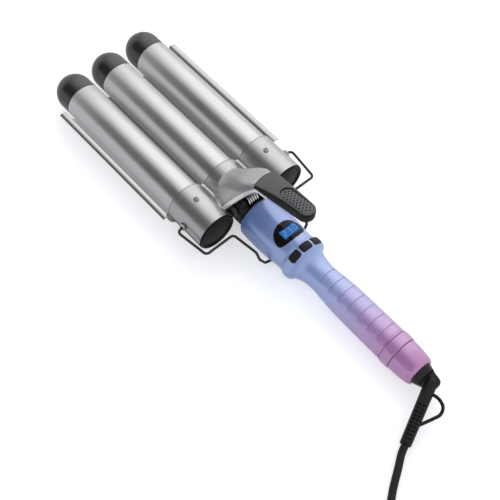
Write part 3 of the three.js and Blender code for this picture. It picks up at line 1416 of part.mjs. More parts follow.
// Drawn from the cord entry at the origin towards +X
function plugBody() {
  const [length, width, height] = PLUG_BODY;
  const widths = [[0, 4.2], [0.16, 4.6], [0.3, 6], [0.55, width / 2 - 1.4], [0.8, width / 2], [1, width / 2]];
  const rings = widths.map(([t, half]) => {
    const up = Math.min(half, height / 2);
    return Array.from({ length: PLUG_SIDES }, (_, i) => {
      const angle = ((i + 0.5) / PLUG_SIDES) * 2 * Math.PI;
      const [c, s] = [Math.cos(angle), Math.sin(angle)];
      const squared = (value) => Math.sign(value) * Math.abs(value) ** PLUG_ROUNDNESS;
      return new THREE.Vector3(t * length, half * squared(c), up * squared(s));
    });
  });
  const sockets = SIDES.map(([, side]) => (
    rodX(PLUG_PIN_RADIUS + RUNNING_FIT, length - 6, length + 1, (side * PLUG_PIN_SPACING) / 2, 0, 20)
  ));
  return onPlug(cut(loft(rings), ...sockets));
}

function plugPin(side) {
  const [length] = PLUG_BODY;
  const end = length + PLUG_PIN_LENGTH;
  const root = length - 5.7;
  const profile = [
    [root, 0],
    [root, PLUG_PIN_RADIUS],
    [end - 1.2, PLUG_PIN_RADIUS],
    [end, PLUG_PIN_RADIUS / 2],
    [end, 0],
  ];
  return onPlug(turnX(profile, 16).translate([0, (side * PLUG_PIN_SPACING) / 2, 0]));
}

// Assembly

for (const [name, lane] of LANES) {
  place(`barrel_${name}`, 'chrome', barrel(lane));
  place(`barrel_tip_${name}`, 'black', barrelTip(lane));
  place(`heater_core_${name}`, 'ceramic', heaterCore(lane));
  place(`button_${name}`, 'charcoal', button(lane));
}
for (const [name, side] of SIDES) {
  const y = side * BARREL_PITCH;
  place(`end_cap_${name}`, 'black', endCap(side));
  const coverScrew = panScrew(COVER_SCREW_LENGTH).translate([COVER_SCREW_X, y, COVER_RADIUS + RUNNING_FIT]);
  place(`cover_screw_${name}`, 'steel', coverScrew);
  place(`stand_bush_${name}`, 'steel', standBush(side));
  place(`plug_pin_${name}`, 'brass', plugPin(side));
}
place('upper_cover', 'silver', upperCover());
place('lower_housing', 'charcoal', lowerHousing());
place('lever', 'grey', lever());
place('lever_pad', 'grey', leverPad());
place('wire_stand', 'wire', wireStand());
place('clamp_plate', 'steel', clampPlate());
place('plate_strap', 'steel', plateStrap());
PLATE_SCREW_XS.forEach((x, i) => place(`plate_screw_${i + 1}`, 'steel', plateScrew(x)));
place('neck', 'black', neck());
place('hinge_pin', 'steel', rodY(PIN_RADIUS, -HINGE_HALF_WIDTH, HINGE_HALF_WIDTH, HINGE_X, HINGE_Z, 20));
place('torsion_spring', 'steel', torsionSpring());
place('handle_upper_shell', 'blue', upperShell());
place('handle_lower_shell', 'blue', lowerShell());
place('grip_panel', 'lilac', gripPanel());
place('display_window', 'glass', displayWindow());
place('lcd_panel', 'lcd', lcdPanel());
place('circuit_board', 'board', circuitBoard());
HANDLE_SCREW_XS.forEach((x, i) => place(`handle_screw_${i + 1}`, 'steel', handleScrew(x)));
place('tail_ring', 'orchid', tailRing());
place('tail_sleeve', 'orchid', tailSleeve());
place('swivel_cone', 'black', swivelCone());
place('strain_relief', 'cord', bentRelief(strainRelief()));
place('cord_lead', 'cord', cordLead());
place('cord_coil', 'cord', cordCoil());
place('cord_tail', 'cord', cordTail());
place('plug_body', 'black', plugBody());

// The origin is under the middle of the waver, on the table
waver.position.set(-(TIP_END_X + TAIL_END_X) / 2, 0, -TABLE_Z);

export default waver;
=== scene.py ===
# %% [markdown]
# # A three-barrel hair waver on a white table
#
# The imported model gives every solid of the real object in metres. This lesson opens it, sets up the
# camera, lays the cord, mixes the finishes and then makes each visible piece finer than the solid
# that carries it. Lengths are written in millimetres, measured from the middle barrel's axis at the
# front edge of the silver covers, because that is where a drawing of the waver would start.

import json
import math

import bmesh
import bpy
import numpy as np
from mathutils import Matrix, Quaternion, Vector

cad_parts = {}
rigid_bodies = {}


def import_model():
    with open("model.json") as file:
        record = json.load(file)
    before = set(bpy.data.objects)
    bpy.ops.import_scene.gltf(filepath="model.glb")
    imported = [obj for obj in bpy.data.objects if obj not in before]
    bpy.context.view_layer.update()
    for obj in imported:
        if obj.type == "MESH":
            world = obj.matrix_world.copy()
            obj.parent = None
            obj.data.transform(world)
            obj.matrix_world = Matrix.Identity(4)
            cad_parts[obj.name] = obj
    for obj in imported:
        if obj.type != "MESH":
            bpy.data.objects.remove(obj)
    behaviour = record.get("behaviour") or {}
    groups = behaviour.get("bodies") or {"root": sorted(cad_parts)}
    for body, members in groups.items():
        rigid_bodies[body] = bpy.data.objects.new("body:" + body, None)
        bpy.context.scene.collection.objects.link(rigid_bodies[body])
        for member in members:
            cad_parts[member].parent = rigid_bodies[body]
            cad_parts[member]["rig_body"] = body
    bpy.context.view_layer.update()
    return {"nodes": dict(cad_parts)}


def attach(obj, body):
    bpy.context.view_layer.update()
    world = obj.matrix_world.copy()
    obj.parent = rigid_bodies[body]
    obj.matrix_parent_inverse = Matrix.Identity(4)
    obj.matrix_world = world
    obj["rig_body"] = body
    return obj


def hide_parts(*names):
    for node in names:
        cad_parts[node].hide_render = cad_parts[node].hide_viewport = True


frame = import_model()
scene = bpy.context.scene
MM = 0.001
DRAWING_ORIGIN = np.array([43.0, 0.0, 20.4])
print("solids in the frame:", len(frame["nodes"]))


def metres(points):
    """Millimetres of the drawing as metres of the frame."""
    return (np.asarray(points, float) + DRAWING_ORIGIN) * MM


def linked(name, data):
    """A new object at the origin, in the scene."""
    piece = bpy.data.objects.new(name, data)
    scene.collection.objects.link(piece)
    return piece


# %% [markdown]
# ## The camera
#
# A product picture is taken with a long lens from a little under a metre away. The place and the
# turn were found by laying the outline of the solids over the picture until the edges met. Aiming
# along a direction and adding a small roll keeps the numbers readable.

# %% Set up the camera
LENS_MM, SENSOR_MM, ROLL_DEG = 78.85, 36, 5.884
CAMERA_PLACE, CAMERA_AIM = (-0.32697, 0.35195, 0.75312), (0.35214, -0.3783, -0.85609)
lens = bpy.data.cameras.new("camera")
lens.sensor_width = SENSOR_MM
lens.lens = LENS_MM
camera = linked("camera", lens)
camera.location = CAMERA_PLACE
aim = Vector(CAMERA_AIM).to_track_quat("-Z", "Y")
camera.rotation_mode = "QUATERNION"
camera.rotation_quaternion = aim @ Quaternion((0, 0, 1), math.radians(ROLL_DEG))
scene.camera = camera
print("camera looks along", [round(v, 3) for v in aim @ Vector((0, 0, -1))])

# %% [markdown]
# ## Meshes from rows of points
#
# Most pieces are skins: rows of points, joined row to row by four-sided faces. One function makes
# them all. Blender's own smooth shading with an angle limit keeps real edges crisp.

# %% Make a mesh from rows of points
def add_piece(name, points, faces, sharp_deg=32):
    """A new object at the origin whose points are given in the drawing's millimetres."""
    mesh = bpy.data.meshes.new(name)
    mesh.from_pydata([tuple(p) for p in metres(points)], [], faces)
    return tidy_skin(linked(name, mesh), sharp_deg)


def tidy_skin(piece, sharp_deg=32):
    """Merges doubled points, turns the faces outwards and marks the sharp edges."""
    work = bmesh.new()
    work.from_mesh(piece.data)
    bmesh.ops.remove_doubles(work, verts=work.verts, dist=1e-6)
    bmesh.ops.dissolve_degenerate(work, edges=work.edges, dist=1e-7)
    bmesh.ops.recalc_face_normals(work, faces=work.faces)
    work.to_mesh(piece.data)
    work.free()
    piece.data.shade_smooth()
    piece.data.set_sharp_from_angle(angle=math.radians(sharp_deg))
    return piece


def skin(name, rows, loop=False, sharp_deg=32):
    """Rows of points that each close on themselves. The ends are capped, or joined with loop."""
    rows = np.asarray(rows, float)
    count, around = rows.shape[:2]
    faces = []
    for i in range(count if loop else count - 1):
        for j in range(around):
            k, n = (j + 1) % around, (i + 1) % count
            faces.append((i * around + j, i * around + k, n * around + k, n * around + j))
    if not loop:
        faces.append(tuple(range(around))[::-1])
        faces.append(tuple((count - 1) * around + j for j in range(around)))
    return add_piece(name, rows.reshape(-1, 3), faces, sharp_deg)


def round_angles(sides):
    return np.linspace(0, 2 * np.pi, sides, endpoint=False)


def turned(name, profile, y=0.0, sides=96, loop=False, sharp_deg=32):
    """A profile of [x, radius] points turned about a line along X."""
    angle = round_angles(sides)
    rows = []
    for x, r in profile:
        r = max(r, 0.0004)
        rows.append(np.stack([np.full(sides, x), y + r * np.cos(angle), r * np.sin(angle)], 1))
    return skin(name, rows, loop, sharp_deg)


# %% [markdown]
# ## The mains cord
#
# The picture shows only the first hand's breadth of the cord; the rest is wound into a flat coil out
# of sight. It is 1.7 m of 6 mm flex that leaves the strain relief, sinks to the table, winds inwards
# in a bottom layer, climbs and winds outwards again, and ends in a plug. A curve with round bevel is
# the natural way, because a cord is a line with a thickness.

# %% Lay the cord
CORD_RADIUS = 3.0
TABLE_Z = -20.4
CORD_Z = TABLE_Z + CORD_RADIUS + 0.1
COIL_CENTRE, COIL_RADIUS, COIL_PITCH = np.array([-347.2, 98.6]), 44.0, 6.6
COIL_START_DEG, COIL_END_DEG, COIL_TURNS = 36.9, 90.0, 8
SWIVEL_PIVOT_X, TAIL_AXIS_Z = -238.5, -5.5
RELIEF_YAW, RELIEF_PITCH = math.radians(67), math.radians(10.3)
PLUG_ENTRY, PLUG_DEG = np.array([-412.0, 134.5, TABLE_Z + 6.5]), 190.0


def along_relief(distance):
    flat = math.cos(RELIEF_PITCH)
    return np.array([
        SWIVEL_PIVOT_X - distance * flat * math.cos(RELIEF_YAW),
        distance * flat * math.sin(RELIEF_YAW),
        TAIL_AXIS_Z - distance * math.sin(RELIEF_PITCH),
    ])


def coil_point(deg, radius, z, ahead=0.0):
    angle = math.radians(deg)
    x, y = COIL_CENTRE + radius * np.array([math.cos(angle), math.sin(angle)])
    return np.array([x - ahead * math.sin(angle), y + ahead * math.cos(angle), z])


def through(points, steps=6):
    """A smooth line through points, rounder where they lie far apart."""
    points = [np.asarray(p, float) for p in points]
    points = [2 * points[0] - points[1], *points, 2 * points[-1] - points[-2]]
    line = []
    for a, b, c, d in zip(points, points[1:], points[2:], points[3:]):
        t1 = np.linalg.norm(b - a) ** 0.5
        t2 = t1 + np.linalg.norm(c - b) ** 0.5
        t3 = t2 + np.linalg.norm(d - c) ** 0.5
        for t in np.linspace(t1, t2, steps, endpoint=False):
            ab = (t1 - t) / t1 * a + t / t1 * b
            bc = (t2 - t) / (t2 - t1) * b + (t - t1) / (t2 - t1) * c
            cd = (t3 - t) / (t3 - t2) * c + (t - t2) / (t3 - t2) * d
            abc = (t2 - t) / t2 * ab + t / t2 * bc
            bcd = (t3 - t) / (t3 - t1) * bc + (t - t1) / (t3 - t1) * cd
            line.append((t2 - t) / (t2 - t1) * abc + (t - t1) / (t2 - t1) * bcd)
    line.append(points[-2])
    return line


def wound_coil(per_turn=24):
    total = COIL_TURNS + (COIL_END_DEG - COIL_START_DEG) / 360
    line = []
    for turn in np.linspace(0, total, int(total * per_turn)):
        inward = min(turn, total - turn)
        climb = np.clip((turn - total / 2 + 0.25) / 0.5, 0, 1)
        climb = climb * climb * (3 - 2 * climb)
        radius = COIL_RADIUS - COIL_PITCH * inward
        line.append(coil_point(COIL_START_DEG + turn * 360, radius, CORD_Z + COIL_PITCH * climb))
    return line


plug_heading = np.array([math.cos(math.radians(PLUG_DEG)), math.sin(math.radians(PLUG_DEG)), 0])
cord_lead = through([
    along_relief(51.3), along_relief(57.3), [-266.5, 61.5, CORD_Z + 1], [-276, 77, CORD_Z + 0.1],
    [-290, 96, CORD_Z + 0.1], coil_point(COIL_START_DEG, COIL_RADIUS, CORD_Z, -13.3),
    coil_point(COIL_START_DEG, COIL_RADIUS, CORD_Z, -6.3),
])
cord_tail = through([
    coil_point(COIL_END_DEG, COIL_RADIUS, CORD_Z + COIL_PITCH, 6.3),
    coil_point(COIL_END_DEG, COIL_RADIUS, CORD_Z + COIL_PITCH, 12.3),
    [-372, 141.5, CORD_Z + 4.2], [-388, 138.8, CORD_Z + 1.1],
    PLUG_ENTRY - 6.3 * plug_heading, PLUG_ENTRY - 0.3 * plug_heading,
])
cord_route = np.array([*cord_lead, *wound_coil(), *cord_tail])


def poly_curve(name, points, radius_mm):
    """A round-bevelled curve through the drawing's points."""
    curve = bpy.data.curves.new(name, "CURVE")
    curve.dimensions = "3D"
    spline = curve.splines.new("POLY")
    spline.points.add(len(points) - 1)
    for point, place in zip(spline.points, metres(points)):
        point.co = (*place, 1)
    curve.bevel_depth = radius_mm * MM
    curve.bevel_resolution = 4
    curve.use_fill_caps = True
    return linked(name, curve)


power_cord = poly_curve("power_cord", cord_route, CORD_RADIUS)

# %% [markdown]
# ## Shader maths in Python
#
# A material's pattern is arithmetic on coordinates. `Wire` wraps a node's output so that `+`, `-`,
# `*` and `/` add Math nodes, and `Paint` adds every other node through one method. The material then
# reads like the formula it is.

# %% Wrap sockets and materials
class Wire:
    """The output of a node, with Python's operators."""

    def __init__(self, paint, socket):
        self.paint, self.socket = paint, socket

    def reckon(self, operation, *values):
        return self.paint.add("ShaderNodeMath", {"operation": operation}, dict(enumerate(values)))

    def __add__(self, other):
        return self.reckon("ADD", self, other)

    def __sub__(self, other):
        return self.reckon("SUBTRACT", self, other)

    def __rsub__(self, other):
        return self.reckon("SUBTRACT", other, self)

    def __mul__(self, other):
        return self.reckon("MULTIPLY", self, other)

    def __truediv__(self, other):
        return self.reckon("DIVIDE", self, other)

    def __abs__(self):
        return self.reckon("ABSOLUTE", self)

    __radd__ = __add__
    __rmul__ = __mul__


class Paint:
    """One material while its nodes are joined up. Sizes of patterns are in millimetres."""

    def __init__(self, name, **constants):
        self.material = bpy.data.materials.new(name)
        self.material.use_nodes = True
        self.tree = self.material.node_tree
        self.shader = self.tree.nodes["Principled BSDF"]
        for socket, value in constants.items():
            self.shader.inputs[socket.replace("_", " ")].default_value = value
        self.place = self.add("ShaderNodeTexCoord", output="Object")

    def add(self, kind, settings=None, sockets=None, output=0):
        node = self.tree.nodes.new(kind)
        for key, value in (settings or {}).items():
            if key == "stops":
                self.set_stops(node.color_ramp, value)
            else:
                setattr(node, key, value)
        for key, value in (sockets or {}).items():
            self.join(value, node.inputs[key])
        return Wire(self, node.outputs[output])

    def set_stops(self, ramp, stops):
        while len(ramp.elements) < len(stops):
            ramp.elements.new(0.5)
        for element, (position, colour) in zip(ramp.elements, stops):
            element.position, element.color = position, (*colour, 1)

    def join(self, value, socket):
        if isinstance(value, Wire):
            self.tree.links.new(value.socket, socket)
        else:
            socket.default_value = value

    def feed(self, **values):
        for socket, value in values.items():
            self.join(value, self.shader.inputs[socket.replace("_", " ")])

    def stretched(self, x=1.0, y=1.0, z=1.0):
        return self.add("ShaderNodeMapping", None, {"Vector": self.place, "Scale": (x, y, z)})

    def noise(self, size_mm, detail=2.0, vector=None):
        sockets = {"Vector": vector or self.place, "Scale": 1 / (size_mm * MM), "Detail": detail}
        return self.add("ShaderNodeTexNoise", None, sockets)

    def cells(self, size_mm):
        sockets = {"Vector": self.place, "Scale": 1 / (size_mm * MM)}
        return self.add("ShaderNodeTexVoronoi", None, sockets)

    def ramp(self, value, stops):
        return self.add("ShaderNodeValToRGB", {"stops": stops}, {"Fac": value})

    def blend(self, factor, first, second):
        sockets = {0: factor, 6: first, 7: second}
        return self.add("ShaderNodeMix", {"data_type": "RGBA"}, sockets, 2)

    def along(self, axis):
        return self.add("ShaderNodeSeparateXYZ", None, {"Vector": self.place}, axis)

    def relief(self, height, depth_mm, strength=1.0):
        sockets = {"Height": height, "Distance": depth_mm * MM, "Strength": strength}
        self.feed(Normal=self.add("ShaderNodeBump", None, sockets))


def grey(level, warmth=0.0):
    """A grey as the red, green and blue of a socket, slightly warm or cool."""
    return (level * (1 + warmth), level, level * (1 - warmth), 1)


def linear_light(colour):
    """A screen colour of 0 to 255 as the linear light that a socket takes."""
    return tuple(((c / 255 + 0.055) / 1.055) ** 2.4 if c > 10 else c / 255 / 12.92 for c in colour)


# %% [markdown]
# ## Metals
#
# The barrels wear a satin coating drawn lengthwise, so its noise is stretched along X. The covers are
# sprayed silver, whose tiny flakes show as a grain in roughness and bump. The clamp plate is bare
# rolled steel. From the camera a thin dark line of shade runs down each valley between the barrels,
# so the plate gets painted shade: dark around its two ridges. Opened up, it therefore shows broad dark bands.

# %% Mix the metals
def brushed_metal(name, level, metallic, roughness, streak_mm, depth_mm, spread=0.06):
    paint = Paint(name, Metallic=metallic)
    streaks = paint.noise(streak_mm, 3, paint.stretched(0.03, 1, 1))
    clouds = paint.noise(18, 2)
    paint.feed(Base_Color=paint.blend(clouds, grey(level * 0.94), grey(level * 1.04, 0.006)))
    paint.feed(Roughness=roughness + spread * (streaks - 0.5) + 0.08 * (clouds - 0.5))
    paint.relief(streaks, depth_mm, 0.4)
    return paint.material


def sprayed_silver(name, level, metallic, roughness):
    paint = Paint(name, Metallic=metallic, Coat_Roughness=0.2)
    flakes = paint.cells(0.35)
    clouds = paint.noise(25, 2)
    paint.feed(Base_Color=paint.blend(clouds, grey(level * 0.95), grey(level * 1.04)))
    paint.feed(Roughness=roughness + 0.1 * (flakes - 0.4) + 0.05 * (clouds - 0.5))
    paint.feed(Coat_Weight=0.15 + 0.1 * clouds)
    paint.relief(flakes, 0.01, 0.3)
    return paint.material


RIDGE_OUT, DARK_TO, LIGHT_FROM = 18.5, 9.0, 12.5


def plate_with_painted_shade():
    """Rolled steel with painted shade: dark as far as DARK_TO from each ridge and plain beyond LIGHT_FROM."""
    paint = Paint("plate_steel", Metallic=1.0, Roughness=0.36)
    from_ridge = abs(abs(paint.along(1)) - RIDGE_OUT * MM)
    span = {0: from_ridge, 1: DARK_TO * MM, 2: LIGHT_FROM * MM}
    clear = paint.add("ShaderNodeMapRange", {"clamp": True}, span)
    streaks = paint.noise(0.4, 3, paint.stretched(0.03, 1, 1))
    # Painted shade: the base colour is dark near the ridges, where the valleys between the barrels lie in
    # shade.
    paint.feed(Base_Color=paint.blend(clear, grey(0.08), grey(0.42)), Roughness=0.33 + 0.05 * streaks)
    paint.relief(streaks, 0.005, 0.4)
    return paint.material


barrel_coat = brushed_metal("barrel_coat", 0.51, 0.9, 0.33, 0.5, 0.008, 0.04)
silver_spray = sprayed_silver("silver_spray", 0.42, 0.88, 0.36)
rolled_steel = brushed_metal("rolled_steel", 0.42, 1.0, 0.36, 0.4, 0.005, 0.05)
bright_steel = brushed_metal("bright_steel", 0.66, 1.0, 0.22, 0.2, 0.004)
# Painted highlight: a brighter copy of the cover's silver for the hood's lip.
lip_satin = sprayed_silver("lip_satin", 0.8, 0.7, 0.34)
plate_steel = plate_with_painted_shade()
dark_steel = brushed_metal("dark_steel", 0.26, 1.0, 0.24, 0.2, 0.004)
brass_pin = brushed_metal("brass_pin", 0.6, 1.0, 0.22, 0.25, 0.004)
print("metals mixed")

# %% [markdown]
# ## Plastics and rubber
#
# Moulded plastic is never quite even: a spark-eroded mould leaves a grain of a few tenths of a
# millimetre, and a hand polishes it in patches. Grain goes to the bump, patches go to roughness.

# %% Mix the plastics
def moulded(name, low, high, roughness, grain_mm, depth_mm, strength=0.5, **constants):
    paint = Paint(name, **constants)
    grain = paint.noise(grain_mm, 2)
    patches = paint.noise(14, 3)
    paint.feed(Base_Color=paint.blend(patches, low, high))
    paint.feed(Roughness=roughness + 0.12 * (patches - 0.5) + 0.06 * (grain - 0.5))
    paint.relief(grain, depth_mm, strength)
    return paint.material


DULL = {"Specular_IOR_Level": 0.2}
black_gloss = moulded("black_gloss", grey(0.008), grey(0.013), 0.32, 0.5, 0.004, 0.3, Specular_IOR_Level=0.7)
black_matte = moulded("black_matte", grey(0.008), grey(0.013), 0.42, 0.4, 0.02, **DULL)
swivel_black = moulded("swivel_black", grey(0.007), grey(0.011), 0.3, 0.5, 0.004, 0.3, Specular_IOR_Level=0.3)
black_cap = moulded("black_cap", grey(0.009), grey(0.014), 0.38, 0.5, 0.02, Specular_IOR_Level=0.1)
housing_grey = moulded("housing_grey", grey(0.05), grey(0.062), 0.45, 0.4, 0.02)
button_rubber = moulded("button_rubber", grey(0.014), grey(0.02), 0.45, 0.3, 0.02, **DULL)
# Painted shade: the lever's body is much darker than its top plate, so that its sides read as lying in shade.
lever_dark = moulded("lever_dark", grey(0.014), grey(0.02), 0.45, 0.35, 0.03, Specular_IOR_Level=0.1)
lever_plastic = moulded("lever_plastic", grey(0.11), grey(0.128), 0.5, 0.35, 0.03, **DULL)
pad_plastic = moulded("pad_plastic", grey(0.14), grey(0.16), 0.5, 0.3, 0.03, **DULL)
cord_vinyl = moulded("cord_vinyl", grey(0.01), grey(0.016), 0.4, 0.5, 0.02, **DULL)
heater_ceramic = moulded("heater_ceramic", grey(0.6, 0.03), grey(0.7, 0.03), 0.7, 0.4, 0.03)
board_green = moulded("board_green", (0.01, 0.12, 0.045, 1), (0.015, 0.16, 0.06, 1), 0.4, 0.8, 0.02)
wire_paint = moulded("wire_paint", grey(0.02), grey(0.03), 0.34, 0.4, 0.008, Metallic=0.3)
print("plastics mixed")

# %% [markdown]
# ## The pearl lacquer
#
# The handle fades from steel blue through periwinkle to orchid. The real one is sprayed over silver
# and lacquered, so the colour is a ramp along X under a clear coat, and the mica shows as a fine
# sparkle of cells in the roughness.

# %% Mix the pearl lacquer
PANEL_FRONT, PANEL_REAR, PANEL_PITCH, PANEL_PHASE, PANEL_HALF = -121.0, -195.9, 10.5, 0.45, 10.2
LACQUER_STOPS = [
    (-58, (112, 142, 205)), (-85, (142, 168, 224)), (-118, (152, 175, 230)), (-142, (165, 172, 226)),
    (-164, (178, 160, 216)), (-182, (188, 146, 204)), (-200, (190, 130, 190)), (-230, (192, 120, 180)),
]


def groove_painted_shade(paint):
    """Painted shade in the grooves between the grip's steps: 1 there, 0 elsewhere."""
    start = (PANEL_FRONT + DRAWING_ORIGIN[0]) * MM
    turns = (start - paint.along(0)) / (PANEL_PITCH * MM) + PANEL_PHASE
    part = paint.add("ShaderNodeMath", {"operation": "FRACT"}, {0: turns})
    return paint.ramp(part, [(0.87, (0, 0, 0)), (0.91, (1, 1, 1)), (0.97, (1, 1, 1)), (1.0, (0, 0, 0))])


def pearl_lacquer(name, shaded_grooves=False):
    paint = Paint(name, Metallic=0.12, Coat_IOR=2.0, Coat_Roughness=0.26)
    first, last = LACQUER_STOPS[0][0], LACQUER_STOPS[-1][0]
    start = (first + DRAWING_ORIGIN[0]) * MM
    place = (start - paint.along(0)) / ((first - last) * MM)
    drift = paint.noise(9, 2)
    stops = [((first - x) / (first - last), linear_light(colour)) for x, colour in LACQUER_STOPS]
    colour = paint.ramp(place + 0.03 * (drift - 0.5), stops)
    if shaded_grooves:
        # Painted shade: the grip panel's grooves are coloured dark purple.
        colour = paint.blend(groove_painted_shade(paint), colour, (0.07, 0.05, 0.14, 1))
    mica = paint.cells(0.3)
    paint.feed(Base_Color=colour, Roughness=0.38 + 0.12 * (mica - 0.4), Coat_Weight=0.8 + 0.2 * drift)
    paint.relief(mica, 0.006, 0.25)
    return paint.material


lacquer = pearl_lacquer("pearl_lacquer")
panel_lacquer = pearl_lacquer("panel_lacquer", True)
print("lacquer runs over", len(LACQUER_STOPS), "stops")

# %% Dress a piece: finish, body and the solids it stands for
def dress(piece, finish, body, slot, *nodes):
    piece.data.materials.clear()
    piece.data.materials.append(finish)
    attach(piece, body)
    if nodes:
        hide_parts(*nodes)
    return piece


def smooth_copy(node, name, sharp_deg=32):
    """A merged, smoothly shaded copy of a solid whose shape is already right."""
    return tidy_skin(linked(name, frame["nodes"][node].data.copy()), sharp_deg)


def settled(piece):
    """Turns what the modifiers make into the piece's own mesh."""
    graph = bpy.context.evaluated_depsgraph_get()
    mesh = bpy.data.meshes.new_from_object(piece.evaluated_get(graph))
    piece.modifiers.clear()
    piece.data = mesh
    return piece


def carve(piece, *tools, operation="DIFFERENCE", sharp_deg=32):
    """Cuts tools from a piece, or keeps what they share, and throws the tools away."""
    for tool in tools:
        step = piece.modifiers.new("carve", "BOOLEAN")
        step.operation, step.solver, step.object = operation, "MANIFOLD", tool
    settled(piece)
    for tool in tools:
        bpy.data.objects.remove(tool)
    return tidy_skin(piece, sharp_deg)


dress(power_cord, cord_vinyl, "cord_end", "cord_black", "cord_lead", "cord_coil", "cord_tail")

# %% [markdown]
# ## Barrels and tips
#
# A barrel is a drawn tube with a small roll at its mouth, and its tip is a cap with a short straight
# skirt and half a ball. Both are turned shapes: a profile of a few points swept round the barrel.
# In the picture no barrel mirrors its neighbour, as real satin metal would, so barrels, tips, clamp
# plate and what lies inside are hidden from glossy rays.

# %% Turn the barrels and tips
BARREL_RADIUS, BARREL_PITCH, BARREL_LENGTH, TIP_SKIRT = 16.0, 37.0, 131.6, 10.2
BARREL_WALL, BARREL_ROOT, TIP_SPIGOT = 1.2, 16.6, 7
LANES = [("left", 1), ("middle", 0), ("right", -1)]
SIDES = [("left", 1), ("right", -1)]


def barrel(lane, y):
    inner, outer, end = BARREL_RADIUS - BARREL_WALL, BARREL_RADIUS, BARREL_LENGTH
    mouth = [[end - 0.5, outer], [end - 0.15, outer - 0.12], [end, outer - 0.45]]
    profile = [[-BARREL_ROOT, inner], [-BARREL_ROOT, outer], *mouth, [end, inner]]
    return turned(f"barrel_shell_{lane}", profile, y=y, loop=True)


def barrel_tip(lane, y):
    seat = BARREL_LENGTH + 0.3
    ball, quarter = seat + TIP_SKIRT, np.linspace(0, math.pi / 2, 22)
    dome = [[ball + BARREL_RADIUS * math.sin(a), BARREL_RADIUS * math.cos(a)] for a in quarter]
    spigot = [[seat - TIP_SPIGOT, 0], [seat - TIP_SPIGOT, 14.5], [seat, 14.5]]
    return turned(f"tip_{lane}", [*spigot, [seat, 15.5], [seat + 0.4, 15.9], *dome], y=y)


for lane, place in LANES:
    y = place * BARREL_PITCH
    shell = dress(barrel(lane, y), barrel_coat, "barrel_jaw", "barrel", f"barrel_{lane}")
    tip = dress(barrel_tip(lane, y), black_gloss, "barrel_jaw", "black_gloss", f"barrel_tip_{lane}")
    shell.visible_glossy = tip.visible_glossy = False
print("barrels and tips turned")

# %% Turn the end caps
def end_cap(side, y):
    """A rolled rim round a domed disc, on a collar that sits inside the cover."""
    face, rim = -39.0, 16.95
    roll = [
        [face, rim - 0.2], [face - 0.5, rim], [face - 1.1, rim - 0.15], [face - 1.5, rim - 0.8],
        [face - 1.45, rim - 1.5], [face - 0.9, rim - 2.1], [face - 0.3, rim - 2.9],
    ]
    dome = [[face - 1.4 + 1.1 * r * r, 14.05 * r] for r in np.linspace(1, 0, 12)]
    inside = [[face + 1.8, 0], [face + 1.8, 14.2], [face + 5, 14.2]]
    profile = [[face + 5, 16.0], [face, 16.0], *roll, *dome, *inside]
    return turned(f"round_cap_{side}", profile, y=y, loop=True)


for side, sign in SIDES:
    dress(end_cap(side, sign * BARREL_PITCH), black_cap, "barrel_jaw", "black_matte", f"end_cap_{side}")

# %% [markdown]
# ## The silver cover and its hood
#
# The cover is one moulding: three half pipes, webs between them and a hood that rises like a swan's
# neck to the lever. Where these forms meet the real one has soft fillets. Laying rough solids over
# each other, remeshing them as one volume and smoothing the result gives such fillets for free; the
# crisp edges are cut afterwards.

# %% Shape the cover and hood
COVER_RADIUS, COVER_LENGTH, PARTING_Z = 17.45, 38.7, -1.0
HOOD_FOOT, HOOD_TOP = (-29.5, 4.0), (-49.0, 52.0)
ARCH_HALF_WIDTH, ARCH_HEIGHT, ARCH_FRONT_HEIGHT = 19.6, 24.0, 15.5
HOOD_SWEEP, SADDLE_REAR, SADDLE_HALF = 15.0, -64.0, 8.5
COVER_BORE, WEB_HALF, SPARE, FIT = 16.3, 6.5, 5, 0.3


def mix(a, b, t):
    return a + (b - a) * t


# The lever's plan, crown and underside, which the hood has to meet
LEVER_FRONT, LEVER_LENGTH, LEVER_ARC = -46.5, 55.5, 22.3
ROOT_HALF, TIP_HALF = 11.4, 6.9


def lever_top(x):
    t = np.clip((LEVER_FRONT - x) / LEVER_LENGTH, 0, 1)
    return HOOD_TOP[1] - 0.8 + 12 * (1 - (1 - t) ** 1.7)


def lever_bottom(x):
    t = np.clip((LEVER_FRONT - x) / LEVER_LENGTH, 0, 1)
    return HOOD_TOP[1] + mix(-4.2, 2.4, t) - 1.5 * math.sin(math.pi * t)


def lever_half(x):
    t = np.clip((LEVER_FRONT - x) / LEVER_LENGTH, 0, 1)
    return mix(ROOT_HALF, TIP_HALF, 1 - (1 - t) ** 1.8)


def ease(value, low, high):
    t = np.clip((value - low) / (high - low), 0, 1)
    return t * t * (3 - 2 * t)


BOX_FACES = [(0, 1, 3, 2), (4, 6, 7, 5), (0, 4, 5, 1), (2, 3, 7, 6), (0, 2, 6, 4), (1, 5, 7, 3)]


def box_corners(x, y, z):
    return [[x[i], y[j], z[k]] for i in (0, 1) for j in (0, 1) for k in (0, 1)]


def box(name, x, y, z):
    return add_piece(name, box_corners(x, y, z), BOX_FACES)


def rod(name, place, outer_rear, middle_rear, radius):
    """A solid rod on a barrel's axis. The middle one ends at a rear of its own."""
    rear = outer_rear if place else middle_rear
    profile = [[rear, 0], [rear, radius], [SPARE, radius], [SPARE, 0]]
    return turned(name, profile, y=place * BARREL_PITCH)


def arc(centre, radius, first, last, steps):
    return [[centre + radius * math.cos(a), radius * math.sin(a)] for a in np.linspace(first, last, steps)]


def and_mirrored(points):
    """The points of the left half, and then those of the right half on the way back."""
    return points + [[x, -y, z] for x, y, z in reversed(points)]


